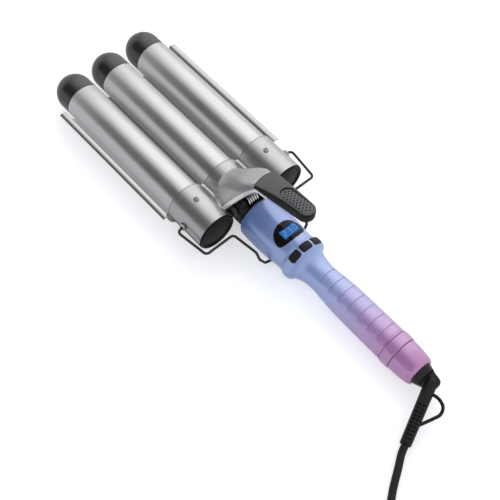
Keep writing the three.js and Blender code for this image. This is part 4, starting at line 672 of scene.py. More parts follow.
def hood_ring(t, per_side=22):
    foot = np.array([mix(-6, HOOD_FOOT[0], t), mix(0, HOOD_FOOT[1], t)])
    top = np.array([mix(-9, HOOD_TOP[0], t), mix(COVER_RADIUS - 1, HOOD_TOP[1], ease(t ** 0.85, -0.06, 1.1))])
    ring = []
    for h in 1 - (1 - np.linspace(0, 1, per_side)) ** 1.6:
        crown = 11.6 - 2.8 * ease(t, 0.75, 1) * ease(h, 0.5, 0.88)
        bell = mix(25, crown, ease(h, 0.12, 0.62)) - 2.6 * (1 - math.sqrt(1 - max((h - 0.93) / 0.07, 0) ** 2))
        half = mix(15 * math.sqrt(1 - 0.97 * h * h), bell, ease(t, 0, 0.85))
        swept = HOOD_SWEEP * t ** 4 * h * (h - 0.53)
        ring.append([mix(foot[0], top[0], h) - swept, half, mix(foot[1], top[1], h)])
    return and_mirrored(ring)


def remeshed(name, parts, voxel_mm, rounds):
    """Overlapping closed parts as one smooth skin."""
    whole = linked(name, bpy.data.meshes.new(name))
    work = bmesh.new()
    for part in parts:
        work.from_mesh(part.data)
        bpy.data.objects.remove(part)
    work.to_mesh(whole.data)
    work.free()
    voxels = whole.modifiers.new("one volume", "REMESH")
    voxels.mode, voxels.voxel_size = "VOXEL", voxel_mm * MM
    soft = whole.modifiers.new("fillets", "SMOOTH")
    soft.factor, soft.iterations = 0.5, rounds
    return tidy_skin(settled(whole))


def cover_volume():
    parts = [rod(f"pipe_{lane}", place, -COVER_LENGTH - SPARE, -25.5, COVER_RADIUS) for lane, place in LANES]
    for _, sign in SIDES:
        middle = sign * BARREL_PITCH / 2
        parts.append(box("web", (-30.7, SPARE), (middle - WEB_HALF, middle + WEB_HALF), (-9, 5.5)))
    parts.append(skin("hood", [hood_ring(t) for t in np.linspace(0, 1, 26)]))
    parts.append(saddle())
    return remeshed("cover_and_hood", parts, 0.75, 10)


def arch_tool():
    """The arch over the neck: low in front, where the hood is thin, and full height behind."""
    angle = np.linspace(0, math.pi, 49)
    rows = []
    for x, height in ((-22.1, ARCH_FRONT_HEIGHT), (-40.0, ARCH_HEIGHT), (-90.0, ARCH_HEIGHT)):
        arch = [[x, ARCH_HALF_WIDTH * math.cos(a), HOOD_FOOT[1] + height * math.sin(a)] for a in angle]
        rows.append([[x, ARCH_HALF_WIDTH, -3.0], *arch, [x, -ARCH_HALF_WIDTH, -3.0]])
    return skin("arch", rows)


def column(name, outline, low, high):
    """An upright prism with a flat outline."""
    return skin(name, [[[x, y, z] for x, y in outline] for z in (low, high)])


def lever_room():
    """The room that the lever takes: behind its front arc and above its underside."""
    rows = []
    for x in np.linspace(-46.0, -80.0, 18):
        low = float(lever_bottom(x)) - FIT
        rows.append([[x, 14, low], [x, 14, 75], [x, -14, 75], [x, -14, low]])
    room = skin("room", rows)
    reach = math.asin(14 / (LEVER_ARC + FIT))
    front = arc(LEVER_FRONT - LEVER_ARC, LEVER_ARC + FIT, -reach, reach, 40)
    return carve(room, column("plan", [[-80, 14], [-80, -14], *front], 40, 80), operation="INTERSECT")


def saddle_x(t):
    return mix(LEVER_FRONT + 2, SADDLE_REAR, t)


def saddle_low(t):
    """The underside of the hood's tail: deep where it leaves the neck, thin at its end."""
    return float(lever_bottom(saddle_x(t))) - FIT - mix(6.5, 1.8, t ** 0.6)


def saddle():
    """The tail of the hood that runs back along the lever's underside."""
    rows = []
    for t in np.linspace(0, 1, 14):
        x = saddle_x(t)
        half = mix(9.5, SADDLE_HALF, ease(t, 0, 0.6)) * math.sqrt(1 - max((t - 0.6) / 0.4, 0) ** 2 * 0.98)
        low, top = saddle_low(t), float(lever_bottom(x)) + 0.6
        ring = []
        for a in round_angles(32):
            across = math.copysign(abs(math.cos(a)) ** 0.5, math.cos(a))
            ring.append([x, half * across, mix(low, top, 0.5 + 0.5 * math.sin(a))])
        rows.append(ring)
    return skin("saddle", rows)


cover = cover_volume()
carve(
    cover,
    box("below", (-80, 20), (-80, 80), (-40, PARTING_Z)),
    box("front", (0, 30), (-80, 80), (-40, 60)),
    box("behind_left", (-60, -COVER_LENGTH), (19.2, 80), (-40, 19.4)),
    box("behind_right", (-60, -COVER_LENGTH), (-80, -19.2), (-40, 19.4)),
    arch_tool(),
    lever_room(),
    *[rod("bore", place, -60, -24.5, COVER_BORE) for _, place in LANES],
)
RIM_GROOVE = [[-1.0, 17.0], [-1.0, 18.5], [-0.5, 18.5], [-0.5, 17.0]]
for _, place in LANES:
    carve(cover, turned("rim_groove", RIM_GROOVE, y=place * BARREL_PITCH, loop=True))
print("cover faces:", len(cover.data.polygons))

# %% Dress the cover and the lower housing
dress(cover, silver_spray, "barrel_jaw", "silver_cover", "upper_cover")
dress(smooth_copy("lower_housing", "lower_shells"), housing_grey, "barrel_jaw", "charcoal", "lower_housing")

# %% [markdown]
# ## Wires by Geometry Nodes
#
# The stand, the hood's bright lip, the torsion spring and the hanging loop are all a round wire on a
# path. One function builds their node tree: it rounds the path's corners, sweeps a circle along it
# and sets the material. Its sizes are named inputs, so each wire is the same recipe with other numbers.

# %% Build the wire recipe
class Recipe:
    """A Geometry Nodes tree with named inputs."""

    def __init__(self, name, **sizes):
        self.tree = bpy.data.node_groups.new(name, "GeometryNodeTree")
        face = self.tree.interface
        face.new_socket("Geometry", in_out="INPUT", socket_type="NodeSocketGeometry")
        self.sockets = {}
        for size, value in sizes.items():
            kind = "NodeSocketInt" if isinstance(value, int) else "NodeSocketFloat"
            socket = face.new_socket(size.replace("_", " "), in_out="INPUT", socket_type=kind)
            socket.default_value = value
            self.sockets[size] = socket.identifier
        face.new_socket("Geometry", in_out="OUTPUT", socket_type="NodeSocketGeometry")
        self.input = self.tree.nodes.new("NodeGroupInput")
        self.output = self.tree.nodes.new("NodeGroupOutput")

    def add(self, kind, settings=None, **sockets):
        node = self.tree.nodes.new(kind)
        for key, value in (settings or {}).items():
            setattr(node, key, value)
        for key, value in sockets.items():
            self.join(value, node.inputs[key.replace("_", " ")])
        return node

    def join(self, value, socket):
        if isinstance(value, bpy.types.NodeSocket):
            self.tree.links.new(value, socket)
        else:
            socket.default_value = value

    def size(self, name):
        return self.input.outputs[name.replace("_", " ")]

    def serve(self, geometry, finish):
        real = self.add("GeometryNodeRealizeInstances", Geometry=geometry)
        painted = self.add("GeometryNodeSetMaterial", Geometry=real.outputs[0], Material=finish)
        self.join(painted.outputs[0], self.output.inputs[0])

    def block(self, *sizes):
        """A small block whose length, width and height are named inputs."""
        size = self.add("ShaderNodeCombineXYZ", **{axis: self.size(name) for axis, name in zip("XYZ", sizes)})
        return self.add("GeometryNodeMeshCube", Size=size.outputs[0]).outputs[0]

    def scatter(self, model, finish, **sockets):
        """Sets the model on every point that comes in."""
        points = self.input.outputs[0]
        placed = self.add("GeometryNodeInstanceOnPoints", Points=points, Instance=model, **sockets)
        self.serve(placed.outputs[0], finish)
        return self

    def cook(self, piece, sharp_deg=32, **sizes):
        """Runs the tree on an object and keeps the result as its plain mesh."""
        step = piece.modifiers.new("recipe", "NODES")
        step.node_group = self.tree
        for size, value in sizes.items():
            step[self.sockets[size]] = value
        graph = bpy.context.evaluated_depsgraph_get()
        mesh = bpy.data.meshes.new_from_object(piece.evaluated_get(graph))
        name = piece.name
        cooked = linked(name + "_made", mesh)
        bpy.data.objects.remove(piece)
        cooked.name = name
        return tidy_skin(cooked, sharp_deg)


def dots(name, places):
    """Bare points, in metres of the frame, for a recipe to set copies on."""
    mesh = bpy.data.meshes.new(name)
    mesh.from_pydata([tuple(p) for p in places], [], [])
    return linked(name, mesh)


def wire_recipe(name, finish):
    recipe = Recipe(name, Wire_Radius=0.001, Bend_Radius=0.0035, Bend_Steps=6, Sides=16)
    bends = {"Radius": recipe.size("Bend_Radius"), "Count": recipe.size("Bend_Steps")}
    section = {"Radius": recipe.size("Wire_Radius"), "Resolution": recipe.size("Sides")}
    path = recipe.add("GeometryNodeFilletCurve", {"mode": "POLY"}, Curve=recipe.input.outputs[0], **bends)
    circle = recipe.add("GeometryNodeCurvePrimitiveCircle", **section)
    lines = {"Curve": path.outputs[0], "Profile_Curve": circle.outputs[0]}
    recipe.serve(recipe.add("GeometryNodeCurveToMesh", Fill_Caps=True, **lines).outputs[0], finish)
    return recipe


def path_curve(name, points):
    """A bare line of points for a recipe to sweep."""
    piece = poly_curve(name, points, 0)
    piece.data.use_fill_caps = False
    return piece


def swept_wire(name, points, finish, radius_mm, bend_mm=0.0, steps=1, sides=16):
    recipe = wire_recipe(name + "_recipe", finish)
    bends = {"Bend_Radius": bend_mm * MM, "Bend_Steps": steps}
    return recipe.cook(path_curve(name, points), 50, Wire_Radius=radius_mm * MM, Sides=sides, **bends)


# %% Bend the stand
STAND_X, STAND_ARM_X, STAND_Z = -19.5, -50.6, 2.0


def stand_path():
    """Out of the left bush, back along the handle, across under it and round to the right bush."""
    cross = TABLE_Z + 1.4
    return and_mirrored([
        [STAND_X, 50.7, STAND_Z], [STAND_X - 0.5, 61.4, STAND_Z - 0.6],
        [STAND_ARM_X, 57.6, STAND_Z - 0.5], [STAND_ARM_X + 0.9, 29, 0],
        [STAND_ARM_X - 23, 26, 0], [STAND_ARM_X - 27, 25.6, -6],
        [STAND_ARM_X - 28, 20, cross + 3.4], [STAND_ARM_X - 28, 13.5, cross],
    ])


stand = swept_wire("stand_rod", stand_path(), wire_paint, 1.1, 3.2, 6)
dress(stand, wire_paint, "stand", "stand_wire", "wire_stand")

# %% Edge the hood with its lip, in a brighter silver as a painted highlight
LIP_RADIUS = 1.9


def lip_path():
    """The left half of the lip: up the hood's rear edge and back along the underside of its tail."""
    edge = [p for p in hood_ring(1.0, 60)[:60] if 9 < p[2] < 42]
    side = [[x - 0.6 * ease(z, 14, 30), y - mix(1.4, 0.1, ease(z, 9, 26)), z] for x, y, z in edge]
    under = [[saddle_x(t), SADDLE_HALF - 0.2, saddle_low(t) + 1.2] for t in (0.44, 0.58, 0.72, 0.86)]
    return through(side[::4] + under, 5)


for side, sign in SIDES:
    path = [[x, sign * y, z] for x, y, z in lip_path()]
    lip = swept_wire(f"hood_lip_{side}", path, lip_satin, LIP_RADIUS)
    dress(lip, lip_satin, "barrel_jaw", "silver_cover")

# %% Wind the torsion spring
HINGE_X, HINGE_Z = -36.0, 6.5


def spring_path(turns=5.28, mean=7.0, pitch=2.1, neck_leg=8.0, hood_leg=13.0):
    def on_coil(turn, ahead=0.0):
        angle = math.radians(-90) + turn * 2 * math.pi
        return [
            HINGE_X + mean * math.cos(angle) - ahead * math.sin(angle),
            (turn - turns / 2) * pitch,
            HINGE_Z + mean * math.sin(angle) + ahead * math.cos(angle),
        ]
    coil = [on_coil(t) for t in np.linspace(0, turns, 150)]
    return [on_coil(0, -neck_leg), *coil, on_coil(turns, hood_leg)]


spring = swept_wire("wound_spring", spring_path(), bright_steel, 0.75, sides=12)
dress(spring, bright_steel, "handle", "screw", "torsion_spring")
print("wires swept")

# %% [markdown]
# ## The clamp plate
#
# The lower jaw is one sheet of steel rolled into three troughs. It is a bent line given a thickness
# and drawn out along X, with its lips left straight, so a skin between two outlines is enough.

# %% Roll the clamp plate
TROUGH_RADIUS, SHEET = 19.2, 1.2


def sheet_section():
    radius = TROUGH_RADIUS + SHEET / 2
    crest = math.acos((BARREL_PITCH - 1.2) / 2 / radius)
    outer = BARREL_PITCH + radius
    line = [[outer + 4.9 * s, 0.75 * math.sin(math.pi * s) - 0.25 * s] for s in np.linspace(1, 0.04, 14)]
    for lane, first, last in [(1, 0, math.pi - crest), (0, crest, math.pi - crest), (-1, crest, math.pi)]:
        middle = lane * BARREL_PITCH
        line += [[y, -z] for y, z in arc(middle, radius, first, last, 40)]
    line += [[-y, z] for y, z in line[:14][::-1]]
    line = np.array(line)
    along = np.gradient(line, axis=0)
    along /= np.linalg.norm(along, axis=1)[:, None]
    sideways = np.stack([-along[:, 1], along[:, 0]], 1) * SHEET / 2
    return np.concatenate([line + sideways, (line - sideways)[::-1]])


def clamp_plate():
    section = sheet_section()
    rows = [[[x, y, z] for y, z in section] for x in (-3.5, 131.0)]
    return skin("jaw_plate", rows)


rolled = dress(clamp_plate(), plate_steel, "handle", "screw", "clamp_plate")
rolled.visible_glossy = False

# %% [markdown]
# ## The handle
#
# The handle is a loft: a section that swells at the head, rolls out into a collar, draws in to a
# waist and grows again to the grip. A row of stations gives half width, height and depth. Between
# stations a monotone cubic keeps the line fair without bulges that nobody drew.

# %% Loft the handle
HANDLE_FRONT, COLLAR_FRONT, WAIST_FRONT, GRIP_FRONT = -45.5, -95.5, -104.5, -130.5
RING_FRONT, SLEEVE_FRONT, SLEEVE_END = -197.5, -207.0, -227.5
HEAD_HALF, COLLAR_RADIUS, WAIST_RADIUS, GRIP_RADIUS, RING_RADIUS = 18.4, 20.0, 11.9, 14.2, 14.9
HEAD_AXIS_Z, BELLY_Z, HANDLE_WALL = -2.9, -17.6, 2.2


def axis_z(x):
    return mix(HEAD_AXIS_Z, TAIL_AXIS_Z, (HANDLE_FRONT - x) / (HANDLE_FRONT - SLEEVE_END))


def head(t):
    return mix(HANDLE_FRONT, COLLAR_FRONT, t)


def collar(t):
    return mix(COLLAR_FRONT, WAIST_FRONT, t)


def waist(t):
    return mix(WAIST_FRONT, GRIP_FRONT, t)


def grip(t):
    return mix(GRIP_FRONT, RING_FRONT, t)


def swell(t):
    return mix(WAIST_RADIUS, GRIP_RADIUS, t)


def handle_stations():
    """Rows of x, half width, height over the axis, depth under it, and 1 for a round underside."""
    belly = axis_z(COLLAR_FRONT) - BELLY_Z
    deep = axis_z(COLLAR_FRONT) - TABLE_Z + 0.3
    squared = 0.62
    return np.array([
        [head(0), HEAD_HALF - 0.9, HEAD_HALF - 1.9, belly - 0.5, squared],
        [head(0.03), HEAD_HALF - 0.2, HEAD_HALF - 1.2, belly, squared],
        [head(0.22), HEAD_HALF + 0.5, HEAD_HALF - 0.9, belly, squared],
        [head(0.42), HEAD_HALF + 0.6, HEAD_HALF - 0.8, belly, squared],
        [head(0.6), HEAD_HALF + 0.1, HEAD_HALF - 0.9, belly, squared],
        [head(0.9), HEAD_HALF - 1, HEAD_HALF - 0.9, belly, 0.73],
        [head(0.97), HEAD_HALF - 0.6, HEAD_HALF - 0.2, belly + 0.6, 0.81],
        [collar(0.12), COLLAR_RADIUS - 0.7, COLLAR_RADIUS - 0.7, deep - 0.6, 0.9],
        [collar(0.45), COLLAR_RADIUS, COLLAR_RADIUS, deep, 0.95],
        [collar(0.75), COLLAR_RADIUS - 0.3, COLLAR_RADIUS - 0.3, deep - 0.2, 1],
        [collar(0.97), COLLAR_RADIUS - 1.6, COLLAR_RADIUS - 1.6, deep - 1.2, 1],
        [waist(0.03), COLLAR_RADIUS - 4.2, COLLAR_RADIUS - 4.2, WAIST_RADIUS + 3.7, 1],
        [waist(0.12), COLLAR_RADIUS - 5.3, COLLAR_RADIUS - 5.4, WAIST_RADIUS + 3, 1],
        [waist(0.26), WAIST_RADIUS + 1.4, WAIST_RADIUS + 1.3, WAIST_RADIUS + 1.6, 1],
        [waist(0.48), *[WAIST_RADIUS + 0.3] * 3, 1],
        [waist(0.75), *[WAIST_RADIUS] * 3, 1],
        [grip(0), *[swell(0.28)] * 3, 1],
        [grip(0.13), *[swell(0.62)] * 3, 1],
        [grip(0.32), *[swell(0.9)] * 3, 1],
        [grip(0.6), *[GRIP_RADIUS] * 3, 1],
        [grip(1), *[GRIP_RADIUS + 0.1] * 3, 1],
    ])


def fair_line(stations):
    """Monotone cubic lines through a table's columns, as a function of the first one."""
    x, y = -stations[:, 0], stations[:, 1:]
    step = np.diff(x)[:, None]
    slope = np.diff(y, axis=0) / step
    tangent = np.zeros_like(y)
    product = slope[:-1] * slope[1:]
    weight = 3 * (step[:-1] + step[1:])
    first, second = 2 * step[1:] + step[:-1], step[1:] + 2 * step[:-1]
    with np.errstate(divide="ignore", invalid="ignore"):
        mean = weight / (first / slope[:-1] + second / slope[1:])
    tangent[1:-1] = np.where(product > 0, mean, 0)

    def value(at):
        i = int(np.clip(np.searchsorted(x, -at) - 1, 0, len(x) - 2))
        h = step[i, 0]
        t = (-at - x[i]) / h
        a, b = 2 * t ** 3 - 3 * t ** 2 + 1, t ** 3 - 2 * t ** 2 + t
        return a * y[i] + b * h * tangent[i] + (1 - a) * y[i + 1] + (t ** 3 - t ** 2) * h * tangent[i + 1]

    return value


handle_line = fair_line(handle_stations())


def handle_skin(x, angle, rise=0.0):
    """A point on the handle: angle 0 is its left side, a quarter turn is its top."""
    half, up, down, squared = handle_line(x)
    c, s = math.cos(angle), math.sin(angle)
    if s >= 0:
        return [x, (half + rise) * c, axis_z(x) + (up + rise) * s]
    y = (half + rise) * math.copysign(abs(c) ** squared, c)
    return [x, y, axis_z(x) - (down + rise) * abs(s) ** squared]


def half_shell(name, first, last, lift):
    nose_xs = np.linspace(HANDLE_FRONT, HANDLE_FRONT - 1.4, 5)
    xs = np.concatenate([nose_xs, np.linspace(HANDLE_FRONT - 1.9, RING_FRONT, 210)])
    rows = []
    for i, x in enumerate(xs):
        nose = 0.35 * (1 - min(i / 4, 1)) ** 2
        outer = [handle_skin(x, a, -nose) for a in np.linspace(first, last, 72)]
        inner = [handle_skin(x, a, -HANDLE_WALL) for a in np.linspace(last, first, 40)]
        ring = np.array(outer + inner)
        ring[:, 2] = np.maximum(ring[:, 2] * lift, (axis_z(x) + (0 if lift > 0 else -0.3)) * lift) * lift
        rows.append(ring)
    return skin(name, rows, sharp_deg=40)


upper_shell = half_shell("upper_half", 0, math.pi, 1)
lower_shell = half_shell("lower_half", math.pi, 2 * math.pi, -1)
carve(lower_shell, box("table", (-200, -60), (-40, 40), (-60, TABLE_Z)), sharp_deg=40)
print("handle halves:", len(upper_shell.data.polygons), len(lower_shell.data.polygons))

# %% [markdown]
# ## Pads on curved skins
#
# The display window, the three buttons, the thumb panel and the lever's pad are all thin pads that
# follow the skin below them. `pillow` takes a flat outline, rounds its edge in steps and lays it on a
# surface given by a function. Only the thumb panel is drawn row by row, because its height steps.

# %% Make pads that follow a surface
def inset(outline, distance):
    """A closed flat outline moved inwards along its own normals."""
    outline = np.asarray(outline, float)
    along = np.roll(outline, -1, 0) - np.roll(outline, 1, 0)
    along /= np.linalg.norm(along, axis=1)[:, None]
    return outline + np.stack([-along[:, 1], along[:, 0]], 1) * distance


def pillow(name, outline, surface, edge, depth, fill=8, sharp_deg=32):
    """edge lists [inset, rise] from the rim inwards. outline runs anticlockwise."""
    top = [(inset(outline, step), rise) for step, rise in edge]
    last, crest = top[-1]
    centre = last.mean(0)
    top += [(centre + (last - centre) * (1 - t), crest) for t in np.linspace(0, 1, fill + 1)[1:-1]]
    top.append((centre + (last - centre) * 0.002, crest))
    bottom = [(centre + (outline - centre) * t, -depth) for t in np.linspace(0.002, 1, fill)]
    rows = [[surface(u, v, rise) for u, v in ring] for ring, rise in bottom + top]
    return skin(name, rows, sharp_deg=sharp_deg)


def rounded(length, width, radius, steps=8):
    """A rectangle with round corners, anticlockwise round the origin."""
    points = []
    for cx, cy, first in [(1, 1, 0), (-1, 1, 90), (-1, -1, 180), (1, -1, 270)]:
        for deg in np.linspace(first, first + 90, steps):
            a = math.radians(deg)
            x = cx * (length / 2 - radius) + radius * math.cos(a)
            points.append([x, cy * (width / 2 - radius) + radius * math.sin(a)])
    return np.array(points)


def over_handle(x, y, rise):
    """The handle's skin straight above a point of the plan."""
    half, up, _, _ = handle_line(x)
    lean = math.sqrt(max(1 - (y / (half + rise)) ** 2, 0.0))
    return [x, y, axis_z(x) + (up + rise) * lean]


# %% Cut and fit the display window
DISPLAY_HALF, DISPLAY_FRONT, DISPLAY_REAR = 13.2, -71.4, -88.6
LCD_X, LCD_Y, LCD_LENGTH, LCD_WIDTH = -80.8, -1.4, 8.0, 15.8


def display_outline(grow=0.0, steps=96):
    middle = DISPLAY_REAR + 6
    points = []
    for angle in np.linspace(0, 2 * math.pi, steps, endpoint=False):
        c, s = math.cos(angle), math.sin(angle)
        reach = (middle - DISPLAY_REAR if c < 0 else DISPLAY_FRONT - middle) + grow
        x = middle + math.copysign(reach * abs(c) ** (0.62 if c < 0 else 1), c)
        points.append([x, math.copysign((DISPLAY_HALF + grow) * abs(s) ** 0.86, s)])
    return np.array(points)


def smeared_glass():
    paint = Paint("display_glass", Specular_IOR_Level=0.15)
    smears = paint.noise(6, 3)
    paint.feed(Base_Color=paint.blend(smears, grey(0.006), grey(0.012)), Roughness=0.08 + 0.08 * smears)
    return paint.material


display_glass = smeared_glass()
WINDOW_EDGE = [[0, 0.0], [0.25, 0.12], [0.6, 0.16]]
window = pillow("display_lens", display_outline(), over_handle, WINDOW_EDGE, 2.2, 10)
carve(window, column("lcd_hole", rounded(LCD_LENGTH + 0.4, LCD_WIDTH + 0.4, 0.6) + [LCD_X, LCD_Y], 5, 40))
carve(upper_shell, column("window_hole", display_outline(0.2), 5, 40), sharp_deg=40)
dress(window, display_glass, "handle", "display_black", "display_window")

# %% Light the little screen
def over_lcd(x, y, rise):
    return [x, y, axis_z(LCD_X) + HEAD_HALF - 1.9 + rise]


def glowing(name, low, high, patch_mm, roughness, **constants):
    """A finish that shines a little by itself, in slightly uneven patches."""
    paint = Paint(name, Emission_Strength=0.55, **constants)
    patches = paint.noise(patch_mm, 1)
    glow = paint.blend(patches, low, high)
    paint.feed(Base_Color=glow, Emission_Color=glow, Roughness=roughness + 0.1 * patches)
    return paint.material


DIM_BLUE, BRIGHT_BLUE = (0.012, 0.07, 0.24, 1), (0.02, 0.11, 0.34, 1)
lcd_blue = glowing("lcd_blue", DIM_BLUE, BRIGHT_BLUE, 7, 0.2, Specular_IOR_Level=0.2)
lcd_ink = glowing("lcd_ink", (0.04, 0.26, 0.5, 1), (0.06, 0.34, 0.58, 1), 3, 0.3)

screen_plan = rounded(LCD_LENGTH, LCD_WIDTH, 0.5) + [LCD_X, LCD_Y]
screen = pillow("lcd_screen", screen_plan, over_lcd, [[0, -0.1], [0.1, 0]], 1.8)
dress(screen, lcd_blue, "handle", "lcd_blue", "lcd_panel")

# %% [markdown]
# ### The digits
#
# Seven bars make any digit. The bars are one small block, placed on points by Geometry Nodes: the
# points carry the angle of each bar, and the tree turns the bar to it. Only bars that are lit get a
# point.

# %% Light the digits
BARS = {  # middle of the bar in a cell of 1 x 2, and whether it lies across
    "a": (0, 1, 1), "b": (0.5, 0.5, 0), "c": (0.5, -0.5, 0), "d": (0, -1, 1),
    "e": (-0.5, -0.5, 0), "f": (-0.5, 0.5, 0), "g": (0, 0, 1),
}
DIGITS = {"2": "abged", "3": "abgcd", "0": "abcdef"}


def digit_recipe(finish):
    recipe = Recipe("lit_bars", Bar_Length=0.0024, Bar_Width=0.0006, Bar_Height=0.0002)
    bar = recipe.block("Bar_Length", "Bar_Width", "Bar_Height")
    angle = recipe.add("GeometryNodeInputNamedAttribute", {"data_type": "FLOAT"}, Name="turn")
    turn = recipe.add("ShaderNodeCombineXYZ", Z=angle.outputs[0])
    spin = recipe.add("FunctionNodeEulerToRotation", Euler=turn.outputs[0])
    return recipe.scatter(bar, finish, Rotation=spin.outputs[0])


def lit_points(text, cell=2.3, gap=2.6):
    places, turns = [], []
    for i, digit in enumerate(text):
        middle = LCD_Y + (1 - i) * (cell + gap) - 0.4
        for key in DIGITS[digit]:
            right, up, across = BARS[key]
            places.append(over_lcd(LCD_X + up * cell, middle - right * cell, 0.08))
            turns.append(math.pi / 2 if across else 0.0)
    return places, turns


def digits(text):
    places, turns = lit_points(text)
    piece = dots("lcd_digits", metres(places))
    piece.data.attributes.new("turn", "FLOAT", "POINT").data.foreach_set("value", turns)
    return digit_recipe(lcd_ink).cook(piece, Bar_Length=0.0021, Bar_Width=0.00055, Bar_Height=0.00016)


dress(digits("230"), lcd_ink, "handle", "lcd_blue")
print("screen lit")

# %% Fit the three buttons
BUTTON_X, BUTTON_SPREAD_DEG = (COLLAR_FRONT + WAIST_FRONT) / 2, 35
KEY_EDGE = [[0, 0.1], [0.15, 0.45], [0.45, 0.65], [0.9, 0.7]]


def over_collar(lane):
    middle = math.pi / 2 - lane * math.radians(BUTTON_SPREAD_DEG)

    def surface(x, across, rise):
        return handle_skin(x, middle - across / COLLAR_RADIUS, rise)

    return surface


for lane, place in LANES:
    plan = rounded(6.8, 10.2, 1.6) + [BUTTON_X, 0]
    key = pillow(f"key_{lane}", plan, over_collar(place), KEY_EDGE, 2.0)
    dress(key, button_rubber, f"{lane}_button", "charcoal", f"button_{lane}")
    hole = pillow("key_hole", rounded(7.3, 10.7, 1.8) + [BUTTON_X, 0], over_collar(place), [[0, 2]], 4)
    carve(upper_shell, hole, sharp_deg=40)

# %% Step the thumb panel
def panel_rise(x):
    """Each step swells from the skin towards the tail and drops back in a short groove."""
    along = (PANEL_FRONT - x) / PANEL_PITCH + PANEL_PHASE
    part = along - math.floor(along)
    return mix(0.02, 0.6, ease(part, 0, 0.86)) - 1.0 * ease(part, 0.88, 0.92) + 0.4 * ease(part, 0.97, 1.0)


def thumb_panel():
    xs = np.linspace(PANEL_FRONT - 0.2, PANEL_REAR, 320)
    rows = []
    for x in xs:
        reach = min(PANEL_FRONT + 0.01 - x, PANEL_HALF)
        half = PANEL_HALF * math.sqrt(1 - (1 - reach / PANEL_HALF) ** 2)
        across = np.linspace(half, -half, 48)
        fade = 1 - (np.abs(across) / PANEL_HALF) ** 8
        top = [over_handle(x, y, panel_rise(x) * f) for y, f in zip(across, fade)]
        low = [over_handle(x, y, -1.4) for y in across[::-6]]
        rows.append(top + low)
    return skin("thumb_panel", rows, sharp_deg=28)


panel = thumb_panel()
dress(panel, panel_lacquer, "handle", "grip_lilac", "grip_panel")
dress(upper_shell, lacquer, "handle", "handle_blue", "handle_upper_shell")
dress(lower_shell, lacquer, "handle", "handle_blue", "handle_lower_shell")
print("panel faces:", len(panel.data.polygons))

# %% Turn the tail ring and sleeve
def round_tail(name, profile, bore):
    rows = []
    for x, r in profile + [[profile[-1][0], bore], [profile[0][0], bore]]:
        rows.append([[x, r * math.cos(a), axis_z(x) + r * math.sin(a)] for a in round_angles(96)])
    return skin(name, rows, loop=True)


def tail_band():
    front, rear = RING_FRONT - FIT, SLEEVE_FRONT
    profile = [
        [front, 14.1], [front - 0.25, 14.5], [front - 0.8, RING_RADIUS],
        [rear + 0.5, RING_RADIUS], [rear + 0.1, RING_RADIUS - 0.3], [rear, RING_RADIUS - 0.6],
    ]
    return round_tail("tail_band", profile, 12.0)


def tail_cuff():
    front, rear = SLEEVE_FRONT - FIT, -226.7
    line = fair_line(np.array([[front, 14.2], [-213.4, 14.1], [-219.9, 13.5], [-224.9, 12.8], [rear, 12.3]]))
    taper = [[x, line(x)[0]] for x in np.linspace(front - 0.3, rear, 24)]
    return round_tail("tail_cuff", [[front, 13.9], *taper, [-227.3, 11.9], [SLEEVE_END, 11.4]], 10.4)


dress(tail_band(), lacquer, "handle", "tail_orchid", "tail_ring")
dress(tail_cuff(), lacquer, "handle", "tail_orchid", "tail_sleeve")

# %% [markdown]
# ## The lever
#
# The lever is a moulding with a gently domed crown, a soft edge and a sunken field for the thumb. Its
# plan is a rounded tongue whose front edge is an arc round the hood. A thin plate lies on its crown,
# and the field is a pad of its own with pits in five staggered rows.

# %% Mould the lever
def lever_outline():
    """The plan, anticlockwise: left side, round tip, right side, then the arc round the hood."""
    tip = LEVER_FRONT - LEVER_LENGTH + TIP_HALF
    side = [[x, lever_half(x)] for x in np.linspace(LEVER_FRONT - 3.2, tip, 26)]
    cap = [[tip - TIP_HALF * math.sin(a), TIP_HALF * math.cos(a)] for a in np.linspace(0, math.pi, 30)[1:-1]]
    reach = math.asin(lever_half(LEVER_FRONT - 3.2) / LEVER_ARC)
    front = arc(LEVER_FRONT - LEVER_ARC, LEVER_ARC, -reach, reach, 26)[1:-1]
    other_side = [[x, -y] for x, y in reversed(side)]
    return np.array(side + cap + other_side + front)


def over_lever(x, y, rise):
    crown = 1.1 * (y / lever_half(x)) ** 2
    return [x, y, float(lever_top(x)) - crown + rise]


def lever_layer(name, outline, rim, edge):
    """rim gives the rows below the edge as [inset, height]; edge lists [inset, rise] of the crown."""
    rows = [[[x, y, height(x, y)] for x, y in inset(outline, step)] for step, height in rim]
    rows += [[over_lever(x, y, rise) for x, y in inset(outline, step)] for step, rise in edge]
    step, crest = edge[-1]
    last = inset(outline, step)
    spine = np.stack([np.clip(last[:, 0], -92, -54), np.zeros(len(last))], 1)
    for t in (0.15, 0.3, 0.45, 0.6, 0.8, 0.999):
        rows.append([over_lever(x, y, crest) for x, y in last + (spine - last) * t])
    return skin(name, rows)


def under_lever(rise):
    return lambda x, y: float(lever_bottom(x)) + rise


def below_crown(rise):
    return lambda x, y: over_lever(x, y, rise)[2]


lever = lever_layer(
    "thumb_lever",
    lever_outline(),
    [(0.7, under_lever(0)), (0.2, under_lever(0.2)), (0.0, under_lever(0.7))],
    [(0.0, -1.7), (0.15, -1.2), (0.5, -0.85), (0.9, -0.75)],
)
plate = lever_layer(
    "lever_top_plate",
    inset(lever_outline(), 0.55) + [0.15, -0.45],
    [(0.8, below_crown(-0.72))],
    [(0.1, -0.68), (0.0, -0.5), (0.1, -0.2), (0.45, 0.0)],
)
print("lever faces:", len(lever.data.polygons), len(plate.data.polygons))

# %% Press the pits into the thumb pad
PAD_LENGTH = 31.0
PAD_REAR = LEVER_FRONT - LEVER_LENGTH + 2.4
PAD_HALF = TIP_HALF - 1.1


